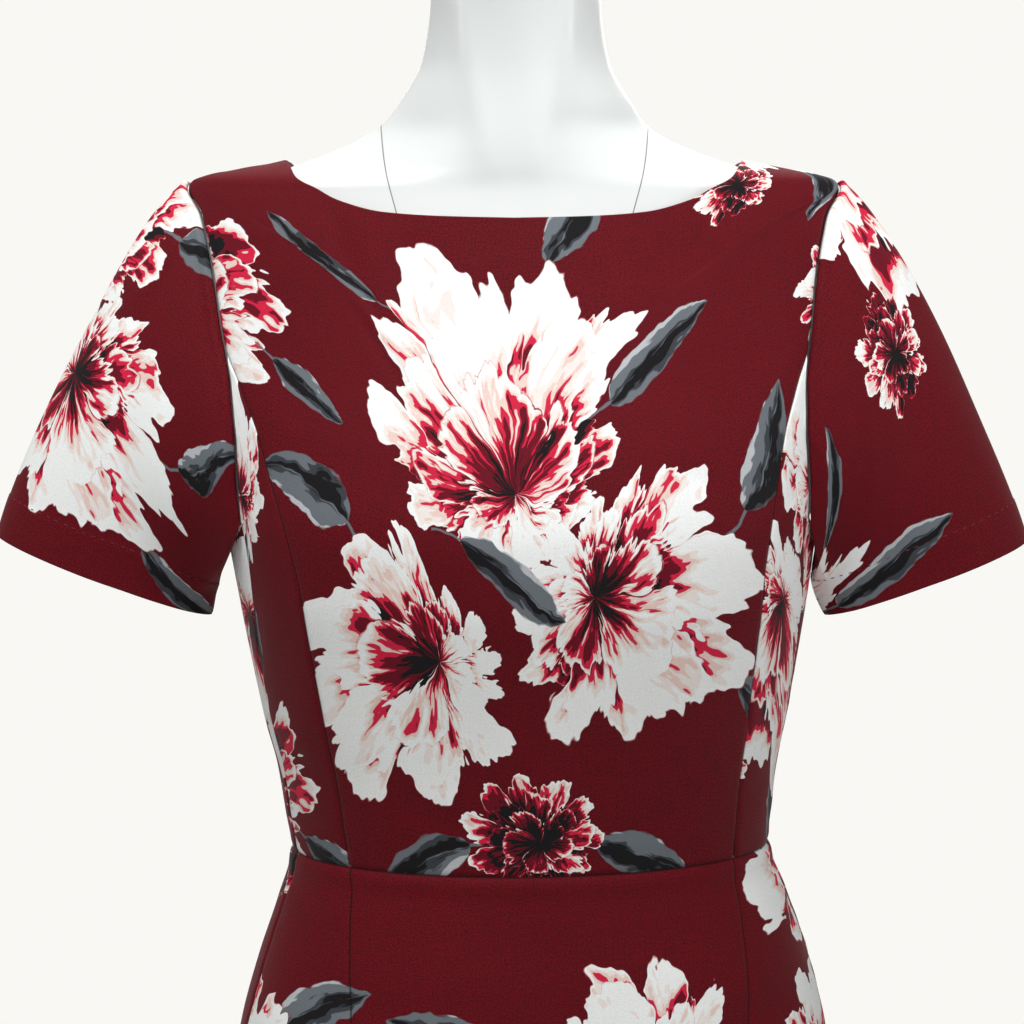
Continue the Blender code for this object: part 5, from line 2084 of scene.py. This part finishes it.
@dataclass
class DressForm:
    """The smooth torso and neck, with a hairline joint beside the neck on each side."""

    bottom: float = 0.815
    top: float = 1.590
    edge: float = 0.008
    rings: int = 260
    neck_rings: int = 90
    segments: int = 176
    middle: float = 0.0015
    cord_rise: float = 0.0014
    cord_width: float = 0.0085
    cord_aside: float = 0.010
    cord_lean: float = 0.20
    cord_base: float = 1.425
    cord_foot: Pair = (1.418, 0.03)
    cord_head: Pair = (1.575, 0.05)
    unmarked: float = 0.05
    crisp: float = 45.0
    joint_span: Pair = (1.382, 1.4635)
    joint: tuple[Pair, ...] = ((1.380, 0.0560), (1.412, 0.0640), (1.440, 0.0715), (1.462, 0.0752))

    def cords(self, skin: Array) -> Array:
        """How far the two low cords down the neck's front lift its skin."""
        height = skin[..., 2]
        (foot, foot_fade), (head, head_fade) = self.cord_foot, self.cord_head
        rise = np.clip((height - foot) / foot_fade, 0.0, 1.0) * np.clip((head - height) / head_fade, 0.0, 1.0)
        lean = self.cord_lean * (height - self.cord_base)
        beside = np.abs(skin[..., 0] - self.middle) - self.cord_aside - lean
        return self.cord_rise * rise * bell(beside, self.cord_width) * (skin[..., 1] < 0.0)

    def from_joint(self, points: Array) -> Array:
        """How far points lie from the joints in front, with their side as sign. Others are far away."""
        line = SmoothColumn([row[0] for row in self.joint], [row[1] for row in self.joint])
        height = points[:, 2]
        away = np.abs(points[:, 0] - self.middle) - line(height)
        unmarked = (points[:, 1] > 0.0) | (height > self.joint_span[1]) | (height < self.joint_span[0])
        return np.where(unmarked, np.copysign(self.unmarked, away), away)

    def build(self) -> Thing:
        """Builds the form's skin.

        Returns:
            The object that stands for the torso's solid.
        """
        shoulder = Edge(straight((SHOULDER_ANGLE, self.bottom + self.edge), (SHOULDER_ANGLE, NECK_POINT)))
        neck = Edge(straight((SHOULDER_ANGLE, NECK_POINT), (SHOULDER_ANGLE, self.top)))
        below = shoulder.at(np.linspace(0.0, 1.0, self.rings - self.neck_rings))[:, 1]
        above = neck.at(np.linspace(0.0, 1.0, self.neck_rings))[1:, 1]
        heights = np.concatenate((below, above))
        angles = np.arange(self.segments) * 360.0 / self.segments - 180.0
        spots = np.stack(np.meshgrid(angles, heights), axis=-1)
        skin = FIGURE.form(spots)
        cords = self.cords(skin)
        rings = [skin + FIGURE.normal(spots) * cords[..., None]]
        for shrink, drop in ((0.1, 0.22), (0.4, 0.62), (1.0, 1.0)):
            low = np.stack((angles, np.full(self.segments, heights[0])), axis=-1)
            ring = FIGURE.skin(low, self.edge * shrink) - np.array((0.0, 0.0, self.edge * drop))
            rings.insert(0, ring[None])
        points = np.concatenate(rings)
        rows, columns = points.shape[:2]
        index = np.arange(rows * columns).reshape(rows, columns)
        after = np.roll(index, -1, axis=1)
        quads = np.stack((index[:-1], after[:-1], after[1:], index[1:]), axis=-1).reshape(-1, 4)
        faces = [*quads.tolist(), index[0, ::-1].tolist(), index[-1].tolist()]
        mesh = bpy.data.meshes.new("form_skin")
        mesh.from_pydata(points.reshape(-1, 3), [], faces)
        mesh.update()
        away = self.from_joint(points.reshape(-1, 3))
        layer = mesh.attributes.new("joint_distance", "FLOAT", "POINT")
        layer.data.foreach_set("value", away.astype(np.float32))
        mesh.materials.append(MATERIALS.lacquer)
        mesh.shade_smooth()
        mesh.set_sharp_from_angle(angle=math.radians(self.crisp))
        thing = link_object("form_skin", mesh)
        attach(thing, DRESS_BODY)
        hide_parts("form_torso")
        log.info("form_skin: %d faces", len(faces))
        return thing


@dataclass(frozen=True)
class HardPieces:
    """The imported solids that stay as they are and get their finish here."""

    finishes: tuple[tuple[str, str], ...] = (
        ("neck_cap", "steel"),
        ("pole", "steel"),
        ("pole_flange", "steel"),
        ("base_plate", "plate"),
        ("zip_tape", "tape"),
        ("zip_slider", "zip_metal"),
        ("zip_tab", "zip_metal"),
    )

    def dress(self) -> None:
        """Gives each solid its material."""
        for node, finish in self.finishes:
            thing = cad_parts[node]
            thing.data.materials.clear()
            thing.data.materials.append(getattr(MATERIALS, finish))
            log.info("%s: %s", node, finish)


# ---- Floor, light and camera ----


@dataclass
class Studio:
    """A pale floor that fades out, soft light and the camera."""

    backdrop: Rgba = srgb(249, 248, 244)
    floor_colour: Rgba = srgb(244, 243, 240)
    floor_shade: Rgba = srgb(240, 239, 235)
    floor_fade: Pair = (0.7, 2.4)
    floor_sides: int = 96
    eye: tuple[float, float, float] = (0.0, -1.9, 1.45)
    pitch: float = 6.2
    sensor: float = 36.0
    frame_widths_away: float = 3345.0 / 1024.0
    lamp_colour: tuple[float, float, float] = (1.0, 0.985, 0.965)
    ambient: float = 0.19
    mirrored: float = 0.9
    floor_glow: float = 0.45

    def floor(self) -> None:
        """A round floor whose edge melts into the backdrop."""
        mesh = bpy.data.meshes.new("floor")
        around = np.linspace(0.0, 2.0 * np.pi, self.floor_sides + 1)[:-1]
        ring = np.stack((np.cos(around), np.sin(around), 0.0 * around), axis=-1) * (self.floor_fade[1] + 0.2)
        mesh.from_pydata(ring, [], [list(range(self.floor_sides))])
        material, g, shader = new_material("studio_floor")
        place = g.node("ShaderNodeTexCoord").outputs["Object"]
        g.feed(shader.inputs["Base Color"], g.mix(g.noise(place, 6.0), self.floor_shade, self.floor_colour))
        shader.inputs["Roughness"].default_value = 0.65
        shader.inputs["Emission Color"].default_value = self.backdrop
        shader.inputs["Emission Strength"].default_value = self.floor_glow
        g.feed(shader.inputs["Alpha"], g.step(g.vector("LENGTH", place), *self.floor_fade, (1.0, 0.0)))
        mesh.materials.append(material)
        thing = link_object("floor", mesh)
        thing.location.z = -0.0005

    def world(self) -> None:
        """A plain pale surround, dimmer as light than as backdrop."""
        world = bpy.data.worlds.new("surround")
        bpy.context.scene.world = world
        world.use_nodes = True
        g = Graph(world.node_tree)
        sky = world.node_tree.nodes["Background"]
        sky.inputs["Color"].default_value = self.backdrop
        path = g.node("ShaderNodeLightPath")
        around = g.blend(path.outputs["Is Glossy Ray"], self.ambient, self.mirrored)
        g.feed(sky.inputs["Strength"], g.blend(path.outputs["Is Camera Ray"], around, 1.0))

    def lamp(
        self,
        name: str,
        place: tuple[float, float, float],
        size: Pair,
        power: float,
        spread: float = 180.0,
        aim_height: float = 1.25,
    ) -> None:
        """A soft rectangular lamp that faces the part.

        Args:
            name: The lamp's name.
            place: Where it stands.
            size: Its width and height.
            power: Its power in watts.
            spread: The angle that its grid lets through, in degrees.
            aim_height: The height that it faces.
        """
        light = bpy.data.lights.new(name, "AREA")
        light.shape = "RECTANGLE"
        light.size, light.size_y = size
        light.energy = power
        light.color = self.lamp_colour
        light.spread = math.radians(spread)
        thing = link_object(name, light)
        thing.location = place
        aim = Vector((0.0, 0.0, aim_height)) - Vector(place)
        thing.rotation_euler = aim.to_track_quat("-Z", "Y").to_euler()

    def camera(self) -> None:
        """The camera at the height and tilt of the picture."""
        lens = bpy.data.cameras.new("view")
        lens.sensor_width = self.sensor
        lens.lens = self.frame_widths_away * self.sensor
        thing = link_object("view", lens)
        thing.location = self.eye
        thing.rotation_euler = (math.radians(90.0 - self.pitch), 0.0, 0.0)
        bpy.context.scene.camera = thing

    def build(self) -> None:
        """Sets up the whole studio."""
        self.floor()
        self.world()
        self.lamp("key", (-0.35, -1.05, 3.4), (1.3, 1.3), 6.5, 50.0, 1.45)
        self.lamp("fill", (1.0, -2.5, 2.2), (1.2, 1.2), 2.2, 90.0, 1.20)
        self.lamp("streak", (1.73, -1.35, 1.75), (0.07, 0.9), 0.22, 18.0, 1.60)
        self.lamp("neck left", (2.0, -0.3, 1.8), (0.25, 0.7), 0.10, 18.0, 1.58)
        self.lamp("neck right", (-2.0, -0.5, 1.8), (0.8, 0.8), 0.14, 18.0, 1.58)
        self.lamp("top", (0.0, 0.3, 3.2), (2.0, 2.0), 8.0)
        self.lamp("back", (0.4, 2.6, 2.4), (1.8, 1.8), 24.0)
        self.camera()
        bpy.context.scene.view_settings.view_transform = "Standard"


def main() -> None:
    """Builds the studio, the form and the dress in order."""
    logging.basicConfig(level=logging.INFO, format="%(message)s")
    Studio().build()
    DressForm().build()
    bodice = Bodice()
    bodice.build()
    Skirt().build()
    build_sleeves(bodice)
    HardPieces().dress()


if __name__ == "__main__":
    main()
